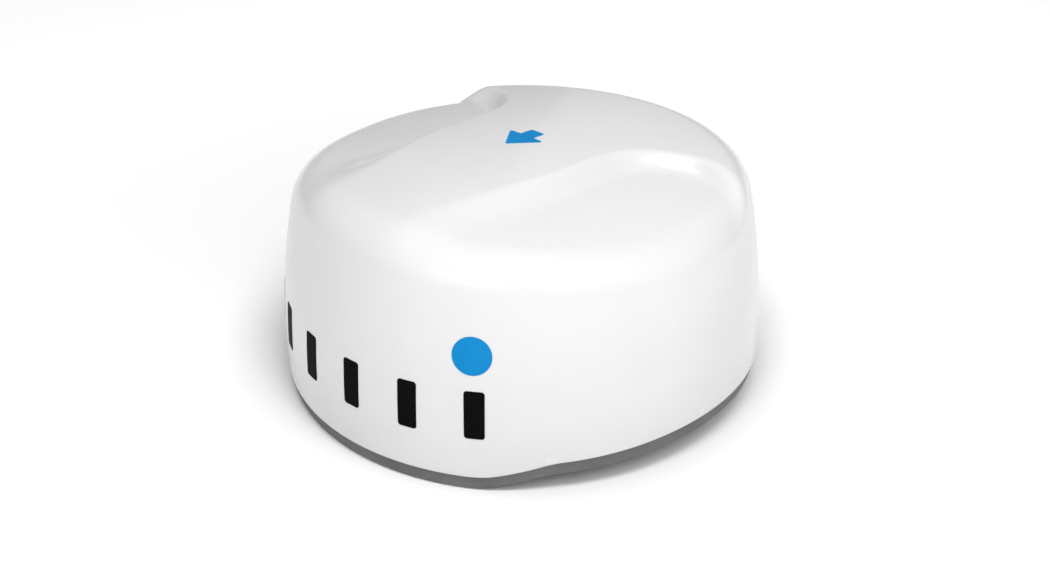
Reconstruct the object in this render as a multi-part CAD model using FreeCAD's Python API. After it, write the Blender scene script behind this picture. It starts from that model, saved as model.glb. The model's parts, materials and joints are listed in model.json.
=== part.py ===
import FreeCAD, Part
import math
import os

# Marine dome radar antenna, in millimetres.
# Frame: +Z up, the front faces -Y, origin at the centre of the flat underside.
# An azimuth is in degrees from the front, positive towards +X.

Vec = FreeCAD.Vector
UP = Vec(0, 0, 1)
BACK = Vec(0, 1, 0)
RIGHT = Vec(1, 0, 0)

# ---- outer shape -------------------------------------------------------------------
cover_diameter = 508.0
overall_height = 248.0
cover_wall = 3.5
wall_arc_radius = 790.0        # barrel curve of the side wall, seen in section
wall_arc_level = 20.0          # height at which the wall is widest
crown_radius = 1900.0
shoulder_radius = 46.0
scoop_drop = 16.0              # depth of the two side scoops below the crown
scoop_floor_radius = 1540.0
scoop_step = 12.0              # plan width of the slope between ridge and scoop
scoop_edge_fall = 4.0          # the outline is measured this much below the middle of the slope
scoop_corner = (93.5, 165.0)   # where the ridge side and the rear edge of a scoop would meet
scoop_corner_radius = 75.0
scoop_side_lean = 1.5          # degrees that the ridge side leans away from Y
scoop_rear_fall = 30.0         # degrees that the rear edge of a scoop falls towards the front

# Lower edge of the cover: low at the front and back, raised at the sides.
edge_low = 15.9
edge_shoulder = 33.0
edge_high = 40.5
edge_low_y = 200.0
edge_shoulder_y = 155.0
edge_round = 50.0
edge_crown_round = 1500.0
rim_height = 12.8              # grey band of the base that shows below the cover
rim_inset = 3.0
rim_gap = 0.8

# ---- general fits ------------------------------------------------------------------
seat_gap = 0.02                # radial gap of pieces that are pressed or bonded in
running_gap = 0.05             # radial gap of turning fits
screw_gap = 0.4                # radial gap of a screw in a plain hole
thread_gap = 0.1               # radial gap of a screw in its modelled thread
decal_thickness = 0.4
past = 1.0                     # how far a cutter runs past a face, or a joined solid runs into the next

# ---- screws ------------------------------------------------------------------------
m3_radius = 1.5
m3_head_radius = 2.8
m3_head_height = 2.4
m4_radius = 2.0
m4_head_radius = 3.5
m4_head_height = 4.0
m4_key = 3.0
m4_nut_flats = 7.0
m4_nut_height = 3.2
m5_radius = 2.5
m5_head_radius = 4.25
m5_head_height = 5.0
m5_key = 4.0

# ---- marks on the cover ------------------------------------------------------------
mark_bar_count = 6
mark_bar_pitch = 14.6          # degrees
mark_bar_width = 19.0
mark_bar_low = 59.5
mark_bar_high = 107.5
mark_corner = 3.0
side_mark_azimuth = 36.0
side_mark_level = 141.0
side_mark_radius = 18.0
arrow_length = 46.0
arrow_width = 48.0
arrow_head = 30.0
arrow_stem_width = 18.0
arrow_corner = 2.0

# ---- base tray ---------------------------------------------------------------------
tray_wall = 4.0
floor_thickness = 5.0
skirt_clearance = 3.1          # between the tray's upright wall and the cover
seal_level = 46.0              # joint face between the tray and the cover
flange_thickness = 4.0
flange_width = 26.0
foot_radius = 205.0            # flat disc that the antenna stands on
seal_width = 4.0
seal_depth = 3.0
seal_offset = 5.5              # from the flange's inner edge to the middle of the seal

cover_screw_count = 6
cover_screw_first = 30.0       # azimuth of the first cover screw
cover_screw_offset = 16.5      # from the flange's inner edge to the screws
cover_screw_radius = 2.95
cover_screw_head_radius = 5.0
cover_screw_head_height = 6.0
cover_screw_seat = 34.0
cover_screw_tip = 58.0
cover_boss_radius = 8.5
cover_insert_radius = 4.5
cover_insert_length = 13.0
cover_insert_sink = 0.3        # insert below the joint face
cover_ring_thickness = 5.0     # ring inside the cover that rests on the seal
cover_screw_key = 5.0
cover_screw_key_depth = 3.5
cover_screw_recess_gap = 0.8   # radial gap of the head in its recess
washer_rim = 0.4               # washer beyond the screw head
washer_thickness = 1.5
seal_side_gap = 0.1
seal_top_gap = 0.3
screw_floor = 3.0              # level of the tips of the screws in the tray floor

mount_spacing_x = 141.5
mount_spacing_y = 233.0
mount_hole_radius = 3.4        # M8 thread, at its minor diameter
mount_insert_radius = 6.0
mount_insert_length = 22.0
mount_cap = 2.0                # closed end of the boss above the insert
mount_boss_radius = 12.0
foot_boss_radius = 7.0         # small pads under the motor bracket and the transceiver box

# ---- connector bay in the underside, at the back ---------------------------------------
bay_half_width = 48.0
bay_wall_y = 168.0
bay_roof = 34.0
socket_spacing = 54.0
socket_level = 20.0
socket_thread_radius = 8.0
socket_flange_radius = 13.0
socket_collar_radius = 11.0
socket_tail = 14.0
socket_nut_flats = 24.0
socket_seal_thickness = 1.0
seal_inset = 1.0               # socket seal inside the edge of the flange
socket_flange_thickness = 3.0
socket_collar_length = 10.0
socket_collar_wall = 2.5
power_pins = 4
network_pins = 8
contact_radius = 0.8
contact_circle = 4.6
contact_length = 7.0
socket_key_width = 2.0
socket_key_height = 1.5
socket_nut_thickness = 5.0
vent_radius = 4.0
vent_level = 12.0
vent_head_radius = 6.5
vent_head_length = 5.0
vent_tail = 4.0
vent_slot_width = 1.2
vent_slot_pitch = 3.0
vent_slot_depth = 2.0

# ---- turning unit --------------------------------------------------------------------
pad_height = 6.0               # raised pads of the tray floor
pedestal_wall = 7.5            # beside the bearings
pedestal_flange_width = 11.0
pedestal_flange_thickness = 6.0
pedestal_pad_rim = 2.0
pedestal_motor_gap = 2.0       # least room between the pedestal and the motor
pedestal_screw_count = 6
bearing_bore = 30.0
bearing_outer = 55.0
bearing_width = 13.0
ball_groove_depth = 1.05       # of the groove in each ring
shaft_spacer_relief = 0.8      # spacer below the shoulder of the inner rings
bearing_span = 18.0            # distance between the two bearings
ball_radius = 4.0
ball_count = 11
groove_gap = 0.05
cage_thickness = 2.4
cage_height = 9.6
bearing_lift = 13.0            # from the pedestal flange to the lower bearing
retainer_thickness = 3.0
retainer_top_gap = 1.0
shaft_bore_radius = 9.0
shaft_flange_radius = 32.0
shaft_flange_thickness = 5.0
shaft_shoulder_radius = 18.0
spigot_radius = 16.0
spigot_stand = 4.0             # spigot above the bracket disc
circlip_thickness = 1.6
circlip_groove = 1.0
circlip_width = 2.6
circlip_ear_radius = 2.4
circlip_ear_hole = 0.9
circlip_ear_x = 4.6
bearing_seat_step = 5.0        # radial depth of the ledge under the lower bearing
pedestal_rib = 4.0
pedestal_rib_height = 15.0
pedestal_ribs = (0, 1, 2, 4, 5)
cable_port_width = 10.0
cable_port_height = 9.0
retainer_inner_gap = 4.5       # from the shaft shoulder to the retainer
retainer_sink_depth = 1.8
retainer_head_height = 1.6
retainer_screw_length = 7.0    # in the pedestal
retainer_screw_count = 4
cage_pocket_gap = 0.12
gear_bolt_circle = 24.5
gear_bolt_count = 4
shaft_end = 2.0                # shaft below the circlip
stator_base_radius = 7.0
stator_base_height = 8.0
stator_probe_radius = 2.0
rotor_bore = 3.5
rotor_flange_radius = 14.0
rotor_flange_height = 4.0
rotor_depth = 10.0             # from the lower bearing's foot to the end of the rotor

gear_module = 1.25
gear_teeth = 108
pinion_teeth = 18
gear_face = 10.0
pinion_overhang = 1.0          # pinion beyond each side of the gear
tooth_backlash = 0.16
pressure_angle = 20.0

motor_side = 57.0
motor_height = 51.0
motor_screw_spacing = 47.14
motor_shaft_radius = 3.175
motor_pilot_radius = 19.05
motor_plate_thickness = 4.0
motor_plate_drop = 11.0        # from the gear down to the underside of the plate
motor_plate_half_length = 33.0
motor_leg_y = 33.0
motor_leg_thickness = 3.0
motor_foot_width = 16.0
motor_foot_spacing = 44.0
motor_corner = 5.0
motor_waist = 3.5              # step of the laminations at each corner
motor_end_cap = 9.0
motor_pilot_height = 1.6
motor_shaft_end = 6.0          # from the foot of the motor to the end of its shaft
motor_screw_length = 6.0       # in the motor
motor_plug_level = 2.0
motor_plug = (5.0, 16.0, 8.0)  # how far it stands out, width and height
motor_window = 40.0
motor_window_margin = 9.0
gear_rim = 8.0
gear_hub_gap = 2.0
gear_window_radius = 8.0
gear_window_count = 6
gear_web_sides = 4.0           # the web is this much thicker than half the face
pinion_hub_radius = 8.0
pinion_hub_height = 6.5
magnet_radius = 2.5
magnet_circle = 52.5
magnet_depth = 3.0
magnet_stand = 0.8
sensor_size = (11.0, 12.0, 2.0)
sensor_head = (6.0, 8.0, 2.5)

# ---- antenna --------------------------------------------------------------------------
array_length = 406.0
guide_depth = 25.4             # rectangular waveguide, outside sizes
guide_height = 12.7
guide_wall = 1.27
slot_pitch = 22.0
slot_width = 1.8
slot_tilt = 12.0
horn_depth = 50.0
horn_aperture = 80.0
horn_sheet = 2.0
horn_tail = 11.0               # sheet behind the waveguide, where the clamp screws pass
window_thickness = 2.0
guide_level = 152.0            # middle of the waveguide
bracket_thickness = 4.0
bracket_length = 180.0
bracket_upright_x = 22.0
bracket_upright_thickness = 6.0
bracket_web_reach = 34.0
bracket_web_drop = 30.0
bracket_web_thickness = 4.0
bracket_front_gap = 1.0        # uprights behind the front of the waveguide
bracket_back_reach = 3.0       # and beyond its back
bolt_end = 1.8                 # bolt past its nut
bracket_cable_hole = 8.0
launcher_hole = 12.0
launcher_radius = 11.0
launcher_port = 4.0
clamp_x = (40.0, 80.0)         # clamp bolts on each side of the middle
end_plate_lip = 1.5
plate_corner = 3.0
window_corner = 5.0
bend_corner = 6.0

# ---- electronics -----------------------------------------------------------------------
board_level = 28.0
board_thickness = 1.6
board_hole_inset = 5.0
board_hole_radius = 1.7
board_screw_radius = 1.4
board_screw_head_radius = 2.7
board_screw_head_height = 1.8
board_screw_slot = 0.8
board_screw_length = 6.0
main_board_box = (-78.0, 82.0, -172.0, -62.0)
power_board_box = (-58.0, 58.0, 60.0, 122.0)
standoff_flats = 6.0
standoff_stud_radius = 1.9
standoff_stud_length = 2.8
standoff_bore_depth = 8.0
box_x = (-172.0, -62.0)
box_half_width = 50.0
box_height = 40.0
box_wall = 3.0
lid_thickness = 3.0
lid_rib_pitch = 8.0
lid_rib_thickness = 2.0
lid_rib_height = 4.0
lid_rib_inset = 14.0
box_screw_inset = 6.0
box_post_radius = 5.0
box_thread = 2.5               # depth of the thread in the box wall
magnetron_screw_length = 6.0
rf_port_radius = 4.0
rf_port_length = 6.0
magnetron_y = -90.0
magnetron_level = 20.0         # above the foot of the transceiver box
magnetron_radius = 16.0
magnetron_half_height = 19.0
magnetron_flange = (40.0, 4.0, 36.0)
magnetron_throat_radius = 11.0
magnetron_screw_x = 15.0
magnetron_screw_z = 13.0
magnetron_fin_half = (24.0, 20.0)
magnetron_fin_thickness = 1.6
magnetron_fin_pitch = 6.0
magnetron_magnet_thickness = 8.0
magnetron_magnet_half_width = 14.0
magnetron_cap_thickness = 3.0
lead_rows = (-86.0, -112.0)    # y of the lead connectors on the main board
lead_connector = (14.0, 12.0, 9.0)
lead_entry = 5.0               # height of a lead above its board
shield_can = (50.0, 44.0, 4.0)
shield_place = (-3.0, -120.0)
memory_chip = (10.0, 8.0, 1.4)
chip_pitch = 14.0
chip_row = 16.0
small_can_radius = 4.0
small_can_height = 11.0
small_can_column = 20.0
small_can_row = 22.0
small_can_pitch = 12.0
coil = (14.0, 12.0, 6.0)
coil_column = 19.0
coil_row = 66.0
coil_pitch = 18.0
board_link = (32.0, 9.0, 7.0)
board_link_row = 7.5
large_can_radius = 7.0
large_can_height = 24.0
large_can_column = 22.0
large_can_row = 20.0
large_can_pitch = 17.0
transformer = (22.0, 24.0, 20.0)
transformer_place = (-3.0, 24.0)
heat_sink = (26.0, 31.0, 20.0)
sink_inset = 12.0
sink_base = 3.0
sink_first_fin = 2.0
sink_fin = 2.0
sink_fin_pitch = 5.0
sink_fin_count = 6
choke_radius = 8.0
choke_wire = 4.0
choke_place = (30.0, 18.0)
power_inlet = (14.0, 12.0, 12.0)
receiver_inset = 14.0
receiver_half_width = 36.0
receiver_thickness = 3.0
receiver_can = (20.0, 52.0, 6.0)
receiver_can_pitch = 26.0
lead_radius = 2.4
motor_lead_radius = 2.0
lead_bend = 9.0
lead_side_gap = 25.0           # network lead beyond the motor
network_lead_turn = 70.0       # y at which it leaves the straight run past the motor
network_lead_floor = (104.0, 84.0)
floor_bend = 8.0
lead_straight = 14.0
motor_lead_turn = 66.0
motor_lead_bend = 7.0
rf_cable_radius = 1.8
rf_bend = 6.0
rf_slope = 16.0
rf_level = 30.0

# ---- places worked out from the sizes above ---------------------------------------------
cover_radius = cover_diameter / 2
cover_inner_radius = cover_radius - cover_wall
rim_radius = cover_radius - rim_inset
upright_radius = cover_inner_radius - skirt_clearance
flange_inner_radius = upright_radius - flange_width
seal_radius = flange_inner_radius + seal_offset
cover_screw_circle = flange_inner_radius + cover_screw_offset
rim_bottom = -rim_gap - rim_height
well_radius = foot_radius - tray_wall
socket_hole_radius = socket_thread_radius + screw_gap
socket_places = (-socket_spacing / 2, socket_spacing / 2)

pedestal_level = floor_thickness + pad_height
flange_top = pedestal_level + pedestal_flange_thickness
lower_bearing = flange_top + bearing_lift
upper_bearing = lower_bearing + bearing_width + bearing_span
pedestal_top = upper_bearing + bearing_width
shaft_flange = pedestal_top + retainer_thickness + retainer_top_gap
gear_level = shaft_flange + shaft_flange_thickness
bracket_level = gear_level + gear_face
spigot_top = bracket_level + bracket_thickness + spigot_stand
bearing_pitch = (bearing_bore + bearing_outer) / 4
bearing_ring_wall = (bearing_outer - bearing_bore) / 4 - ball_radius + ball_groove_depth
pedestal_radius = bearing_outer / 2 + pedestal_wall
pedestal_flange_radius = pedestal_radius + pedestal_flange_width

gear_radius = gear_teeth * gear_module / 2
pinion_radius = pinion_teeth * gear_module / 2
motor_x = gear_radius + pinion_radius
motor_plate_level = gear_level - motor_plate_drop
pinion_level = gear_level - pinion_overhang
pinion_face = gear_face + 2 * pinion_overhang

guide_bottom = guide_level - guide_height / 2
guide_top = guide_level + guide_height / 2
horn_front = -guide_depth / 2 - horn_depth
horn_back = guide_depth / 2 + horn_tail
box_top = pedestal_level + box_height
board_top = board_level + board_thickness


# ---- shape helpers -----------------------------------------------------------------------
def at(radius, azimuth, z=0.0):
    """Point at a radius and an azimuth from the front."""
    turn = math.radians(azimuth)
    return Vec(radius * math.sin(turn), -radius * math.cos(turn), z)


def rod(radius, z0, z1, x=0.0, y=0.0):
    return Part.makeCylinder(radius, z1 - z0, Vec(x, y, z0))


def tube(outer, inner, z0, z1, x=0.0, y=0.0):
    return rod(outer, z0, z1, x, y).cut(rod(inner, z0 - past, z1 + past, x, y))


def rod_y(radius, y0, y1, x, z):
    return Part.makeCylinder(radius, y1 - y0, Vec(x, y0, z), BACK)


def rod_x(radius, x0, x1, y, z):
    return Part.makeCylinder(radius, x1 - x0, Vec(x0, y, z), RIGHT)


def block(x0, x1, y0, y1, z0, z1):
    return Part.makeBox(x1 - x0, y1 - y0, z1 - z0, Vec(x0, y0, z0))


def hexagon(flats, z0, z1, x=0.0, y=0.0):
    """Upright hexagonal prism with the given width across flats."""
    corner = flats / math.sqrt(3)
    ring = [Vec(x + corner * math.cos(math.radians(60 * k)), y + corner * math.sin(math.radians(60 * k)), z0)
            for k in range(7)]
    return Part.Face(Part.makePolygon(ring)).extrude(Vec(0, 0, z1 - z0))


def joined(shapes):
    return shapes[0].multiFuse(shapes[1:]).removeSplitter()


def less(shape, cutters):
    return shape.cut(Part.makeCompound(cutters))


def mirrored_x(shape):
    return shape.mirror(Vec(0, 0, 0), RIGHT)


def rounded_edges(corners, closed):
    """Straight runs joined by tangent arcs. corners is a list of (point, radius)."""
    count = len(corners)
    edges = []
    start = None
    first = None
    for index in range(count):
        point, radius = corners[index]
        entry = exit_point = point
        if radius > 0 and (closed or 0 < index < count - 1):
            back = (corners[index - 1][0] - point).normalize()
            ahead = (corners[(index + 1) % count][0] - point).normalize()
            half = back.getAngle(ahead) / 2
            middle = (back + ahead).normalize()
            entry = point + back * (radius / math.tan(half))
            exit_point = point + ahead * (radius / math.tan(half))
            crest = point + middle * (radius / math.sin(half) - radius)
        if start is not None:
            edges.append(Part.makeLine(start, entry))
        if entry != exit_point:
            edges.append(Part.Arc(entry, crest, exit_point).toShape())
        if first is None:
            first = entry
        start = exit_point
    if closed:
        edges.append(Part.makeLine(start, first))
    return edges


def rounded_face(corners):
    return Part.Face(Part.Wire(rounded_edges(corners, True)))


def lead(points, bend, radius):
    """Round lead along points, with bends of one radius."""
    path = Part.Wire(rounded_edges([(Vec(*p), bend) for p in points], False))
    along = path.Edges[0].tangentAt(path.Edges[0].FirstParameter)
    ring = Part.Wire(Part.makeCircle(radius, Vec(*points[0]), along))
    return path.makePipeShell([ring], True, True)


def bent_sheet(points, thickness, x0, x1):
    """Folded sheet: points are (y, z) along one face, and the thickness grows to their left."""
    line = [Vec(0, y, z) for y, z in points]
    other = []
    for index, point in enumerate(line):
        before = line[index] - line[index - 1] if index else line[1] - line[0]
        after = line[index + 1] - line[index] if index < len(line) - 1 else before
        before.normalize()
        after.normalize()
        normal = (before + after).normalize()
        reach = thickness / math.cos(before.getAngle(after) / 2)
        other.append(point + Vec(0, -normal.z, normal.y) * reach)
    ring = line + other[::-1] + line[:1]
    face = Part.Face(Part.makePolygon(ring))
    face.translate(Vec(x0, 0, 0))
    return face.extrude(Vec(x1 - x0, 0, 0))


def save(name, solids):
    shape = solids if isinstance(solids, Part.Shape) else Part.makeCompound(solids)
    shape.exportStep("parts/" + name + ".step")
    print(name, len(shape.Solids), round(shape.Volume), shape.isValid())


# ---- outer cover ------------------------------------------------------------------------
def dome_solid(height, crown, inset):
    """Solid of revolution under the dome: barrel wall, rounded shoulder and shallow crown."""
    wall_centre = Vec(cover_radius - wall_arc_radius, 0, wall_arc_level)
    crown_centre = Vec(0, 0, height - crown)
    to_wall = wall_arc_radius - shoulder_radius
    to_crown = crown - shoulder_radius
    line = crown_centre - wall_centre
    gap = line.Length
    line.normalize()
    along = (gap * gap + to_wall * to_wall - to_crown * to_crown) / (2 * gap)
    across = math.sqrt(to_wall * to_wall - along * along)
    shoulder = wall_centre + line * along + Vec(-line.z, 0, line.x) * across
    if shoulder.z < 0:
        shoulder = wall_centre + line * along - Vec(-line.z, 0, line.x) * across

    def on_wall(z):
        r = wall_arc_radius - inset
        rise = z - wall_arc_level
        return Vec(wall_centre.x + math.sqrt(r * r - rise * rise), 0, z)

    wall_out = (shoulder - wall_centre).normalize()
    crown_out = (shoulder - crown_centre).normalize()
    wall_end = wall_centre + wall_out * (wall_arc_radius - inset)
    crown_end = crown_centre + crown_out * (crown - inset)
    shoulder_middle = shoulder + (wall_out + crown_out).normalize() * (shoulder_radius - inset)
    top = Vec(0, 0, height - inset)
    crown_middle = crown_centre + (UP + crown_out).normalize() * (crown - inset)
    foot = on_wall(0)
    edges = [Part.makeLine(Vec(0, 0, 0), foot),
             Part.Arc(foot, on_wall(wall_end.z / 2), wall_end).toShape(),
             Part.Arc(wall_end, shoulder_middle, crown_end).toShape(),
             Part.Arc(crown_end, crown_middle, top).toShape(),
             Part.makeLine(top, Vec(0, 0, 0))]
    face = Part.Face(Part.Wire(edges))
    return face.revolve(Vec(0, 0, 0), UP, 360)


def scoop_outline(grow, z):
    """Plan outline of the right scoop, grown outwards on its two inner sides."""
    lean = math.radians(scoop_side_lean)
    fall = math.radians(scoop_rear_fall)
    side = Vec(math.sin(lean), math.cos(lean), 0)
    rear = Vec(math.cos(fall), -math.sin(fall), 0)
    side_out = Vec(-side.y, side.x, 0)
    rear_out = Vec(-rear.y, rear.x, 0)
    corner = Vec(scoop_corner[0], scoop_corner[1], z)
    shift = (side_out + rear_out) * (grow / (1 + side_out.dot(rear_out)))
    corner = corner + shift
    reach = cover_diameter
    ends = [corner - side * reach, corner + rear * reach]
    outer = Vec(ends[1].x, ends[0].y, z)
    return Part.Wire(rounded_edges([(ends[0], 0), (corner, scoop_corner_radius + grow), (ends[1], 0),
                                    (outer, 0)],
                                   True))


def scoop_cutter(inset):
    """What the two scoops take off the dome, for its outer face or the face inset from it."""
    middle = overall_height - scoop_drop / 2 - scoop_edge_fall
    half = shoulder_radius
    spread = half * scoop_step / scoop_drop
    low = scoop_outline(inset - spread, middle - half)
    high = scoop_outline(inset + spread, middle + half)
    prism = Part.makeLoft([low, high], True, True)
    right = prism.cut(dome_solid(overall_height - scoop_drop, scoop_floor_radius, inset))
    return [right, mirrored_x(right)]


def dome_face(inset):
    return less(dome_solid(overall_height, crown_radius, inset), scoop_cutter(inset))


def below_edge(shift):
    """Everything below the wavy lower edge of the cover, moved up by shift."""
    far = cover_diameter
    points = [(-far, edge_low, 0), (-edge_low_y, edge_low, edge_round),
              (-edge_shoulder_y, edge_shoulder, edge_round), (0, edge_high, edge_crown_round),
              (edge_shoulder_y, edge_shoulder, edge_round), (edge_low_y, edge_low, edge_round),
              (far, edge_low, 0)]
    corners = [(Vec(-far, y, z + shift), bend) for y, z, bend in points]
    corners += [(Vec(-far, far, -far), 0), (Vec(-far, -far, -far), 0)]
    return rounded_face(corners).extrude(Vec(2 * far, 0, 0))


def cover_screw_places():
    step = 360.0 / cover_screw_count
    return [at(cover_screw_circle, cover_screw_first + step * k) for k in range(cover_screw_count)]


def radome_cover():
    shell = dome_face(0).cut(dome_face(cover_wall)).cut(below_edge(0))
    ring_top = seal_level + cover_ring_thickness
    ring = tube(cover_inner_radius + past, flange_inner_radius, seal_level, ring_top)
    boss_top = seal_level + cover_insert_length + tray_wall
    bosses = [rod(cover_boss_radius, seal_level, boss_top, p.x, p.y) for p in cover_screw_places()]
    hole_top = seal_level + cover_insert_length + past
    holes = [rod(cover_insert_radius + seat_gap, seal_level - past, hole_top, p.x, p.y)
             for p in cover_screw_places()]
    return less(joined([shell, ring] + bosses), holes)


def cover_inserts():
    low = seal_level + cover_insert_sink
    high = low + cover_insert_length
    return [tube(cover_insert_radius, cover_screw_radius + thread_gap, low, high, p.x, p.y)
            for p in cover_screw_places()]


# ---- marks on the cover --------------------------------------------------------------------
def wall_skin():
    """Thin shell that lies on the cover's outer face."""
    outer = dome_solid(overall_height + seat_gap, crown_radius, -seat_gap - decal_thickness)
    return outer.cut(dome_solid(overall_height + seat_gap, crown_radius, -seat_gap))


def turned(shape, azimuth):
    copy = shape.copy()
    copy.rotate(Vec(0, 0, 0), UP, azimuth)
    return copy


def front_mark(skin):
    half = mark_bar_width / 2
    y = -cover_diameter
    corners = [(Vec(x, y, z), mark_corner) for x, z in ((-half, mark_bar_low), (half, mark_bar_low),
                                                        (half, mark_bar_high), (-half, mark_bar_high))]
    bar = rounded_face(corners).extrude(Vec(0, cover_diameter, 0))
    first = -mark_bar_pitch * (mark_bar_count - 1) / 2
    return [skin.common(turned(bar, first + mark_bar_pitch * k)) for k in range(mark_bar_count)]


def side_mark(skin):
    disc = rod_y(side_mark_radius, -cover_diameter, 0, 0, side_mark_level)
    return skin.common(turned(disc, side_mark_azimuth))


def heading_mark(skin):
    """Arrow on the crown that points to the front."""
    tip = -arrow_length / 2
    neck = tip + arrow_head
    tail = arrow_length / 2
    wide = arrow_width / 2
    stem = arrow_stem_width / 2
    z = overall_height / 2
    bend = arrow_corner
    corners = [(Vec(0, tip, z), bend), (Vec(wide, neck, z), bend), (Vec(stem, neck, z), 0),
               (Vec(stem, tail, z), bend), (Vec(-stem, tail, z), bend), (Vec(-stem, neck, z), 0),
               (Vec(-wide, neck, z), bend)]
    return skin.common(rounded_face(corners).extrude(Vec(0, 0, overall_height)))


# ---- base tray and what is fixed in it -------------------------------------------------------
def mount_places():
    return [Vec(x, y, 0) for x in (-mount_spacing_x / 2, mount_spacing_x / 2)
            for y in (-mount_spacing_y / 2, mount_spacing_y / 2)]


def pedestal_screw_places():
    circle = (pedestal_radius + pedestal_flange_radius) / 2
    return [at(circle, 360.0 / pedestal_screw_count * k) for k in range(pedestal_screw_count)]


def motor_foot_places():
    side = motor_leg_y + motor_leg_thickness + motor_foot_width / 2
    half = motor_foot_spacing / 2
    return [Vec(motor_x + dx, y, 0) for dx in (-half, half) for y in (-side, side)]


def box_screw_places():
    side = box_half_width - box_screw_inset
    return [Vec(x, y, 0) for x in (box_x[0] + box_screw_inset, box_x[1] - box_screw_inset)
            for y in (-side, side)]


def board_hole_places(box):
    x0, x1, y0, y1 = box
    inset = board_hole_inset
    return [Vec(x, y, 0) for x in (x0 + inset, x1 - inset) for y in (y0 + inset, y1 - inset)]


def standoff_places():
    return board_hole_places(main_board_box) + board_hole_places(power_board_box)


def base_tray():
    underside = below_edge(rim_bottom)
    band = rod(rim_radius, 0, seal_level).common(below_edge(-rim_gap))
    body = joined([band, rod(upright_radius, 0, seal_level)])
    ring_space = rod(upright_radius - tray_wall, -past, seal_level - flange_thickness)
    ring_space = ring_space.cut(below_edge(rim_bottom + tray_wall))
    relief = tube(cover_diameter, foot_radius, -past, seal_level).common(underside)
    body = less(body, [rod(well_radius, floor_thickness, seal_level + past), ring_space, relief,
                       rod(flange_inner_radius, seal_level - flange_thickness - past, seal_level + past)])

    additions = [rod(cover_boss_radius, 0, seal_level, p.x, p.y).cut(underside) for p in cover_screw_places()]
    additions += [rod(mount_boss_radius, 0, mount_insert_length + mount_cap, p.x, p.y)
                  for p in mount_places()]
    additions.append(rod(pedestal_flange_radius + pedestal_pad_rim, 0, pedestal_level))
    additions += [rod(foot_boss_radius, past, pedestal_level, p.x, p.y)
                  for p in motor_foot_places() + box_screw_places()]
    outer_width = bay_half_width + tray_wall
    bay = block(-outer_width, outer_width, bay_wall_y - tray_wall, cover_radius, 0, bay_roof + tray_wall)
    additions.append(bay.common(rod(upright_radius, 0, seal_level)))
    body = joined([body] + additions)

    holes = [block(-bay_half_width, bay_half_width, bay_wall_y, cover_diameter, -past, bay_roof)]
    for p in cover_screw_places():
        holes.append(rod(cover_screw_head_radius + cover_screw_recess_gap, -past, cover_screw_seat, p.x, p.y))
        holes.append(rod(cover_screw_radius + screw_gap, 0, seal_level + past, p.x, p.y))
    hole_floor = screw_floor - past
    holes += [rod(mount_insert_radius + seat_gap, -past, mount_insert_length, p.x, p.y)
              for p in mount_places()]
    holes += [rod(m5_radius + thread_gap, hole_floor, pedestal_level + past, p.x, p.y)
              for p in pedestal_screw_places()]
    holes += [rod(m4_radius + thread_gap, hole_floor, pedestal_level + past, p.x, p.y)
              for p in motor_foot_places() + box_screw_places()]
    holes += [rod(standoff_stud_radius + seat_gap, floor_thickness - standoff_stud_length - screw_gap / 2,
                  floor_thickness + past, p.x, p.y) for p in standoff_places()]
    wall_y0 = bay_wall_y - tray_wall - 1
    holes += [rod_y(socket_hole_radius, wall_y0, bay_wall_y + past, x, socket_level) for x in socket_places]
    holes.append(rod_y(vent_radius + thread_gap, wall_y0, bay_wall_y + past, 0, vent_level))
    groove = tube(seal_radius + seal_width / 2, seal_radius - seal_width / 2, seal_level - seal_depth,
                  seal_level + past)
    return less(body, holes + [groove])


def mount_inserts():
    return [tube(mount_insert_radius, mount_hole_radius, 0, mount_insert_length, p.x, p.y)
            for p in mount_places()]


def cover_seal():
    half = seal_width / 2 - seal_side_gap
    return tube(seal_radius + half, seal_radius - half, seal_level - seal_depth, seal_level - seal_top_gap)


def cover_screws():
    """Captive screws that hold the cover, each with its sealing washer."""
    screws = []
    head_top = cover_screw_seat - washer_thickness
    head_low = head_top - cover_screw_head_height
    for p in cover_screw_places():
        head = rod(cover_screw_head_radius, head_low, head_top, p.x, p.y)
        socket = hexagon(cover_screw_key, head_low - past, head_low + cover_screw_key_depth, p.x, p.y)
        shank = rod(cover_screw_radius, head_top, cover_screw_tip, p.x, p.y)
        screws.append(joined([head.cut(socket), shank]))
        screws.append(tube(cover_screw_head_radius + washer_rim, cover_screw_radius + thread_gap, head_top,
                           cover_screw_seat, p.x, p.y))
    return screws


def socket(x, pins):
    """Panel socket that faces backwards: flange, threaded barrel, open collar and contact pins."""
    face = bay_wall_y + socket_seal_thickness
    front = face + socket_flange_thickness
    rim = front + socket_collar_length
    mouth_radius = socket_collar_radius - socket_collar_wall
    flange = rod_y(socket_flange_radius, face, front, x, socket_level)
    barrel = rod_y(socket_thread_radius, bay_wall_y - tray_wall - socket_tail, face, x, socket_level)
    collar = rod_y(socket_collar_radius, front, rim, x, socket_level)
    body = joined([flange, barrel, collar]).cut(rod_y(mouth_radius, front + past, rim + past, x,
                                                      socket_level))
    contacts = []
    for k in range(pins):
        turn = math.radians(360.0 / pins * k)
        contacts.append(rod_y(contact_radius, front, front + contact_length,
                              x + contact_circle * math.sin(turn),
                              socket_level + contact_circle * math.cos(turn)))
    half = socket_key_width / 2
    key_top = socket_level + mouth_radius + past / 2
    key = block(x - half, x + half, front + past, rim - past, key_top - socket_key_height, key_top)
    return joined([body, key] + contacts)


def socket_nuts():
    nuts = []
    low = bay_wall_y - tray_wall - socket_nut_thickness
    for x in socket_places:
        nut = hexagon(socket_nut_flats, 0, socket_nut_thickness)
        nut.rotate(Vec(0, 0, 0), RIGHT, -90)
        nut.translate(Vec(x, low, socket_level))
        hole = rod_y(socket_thread_radius + thread_gap, low - past, bay_wall_y, x, socket_level)
        nuts.append(nut.cut(hole))
    return nuts


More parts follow.
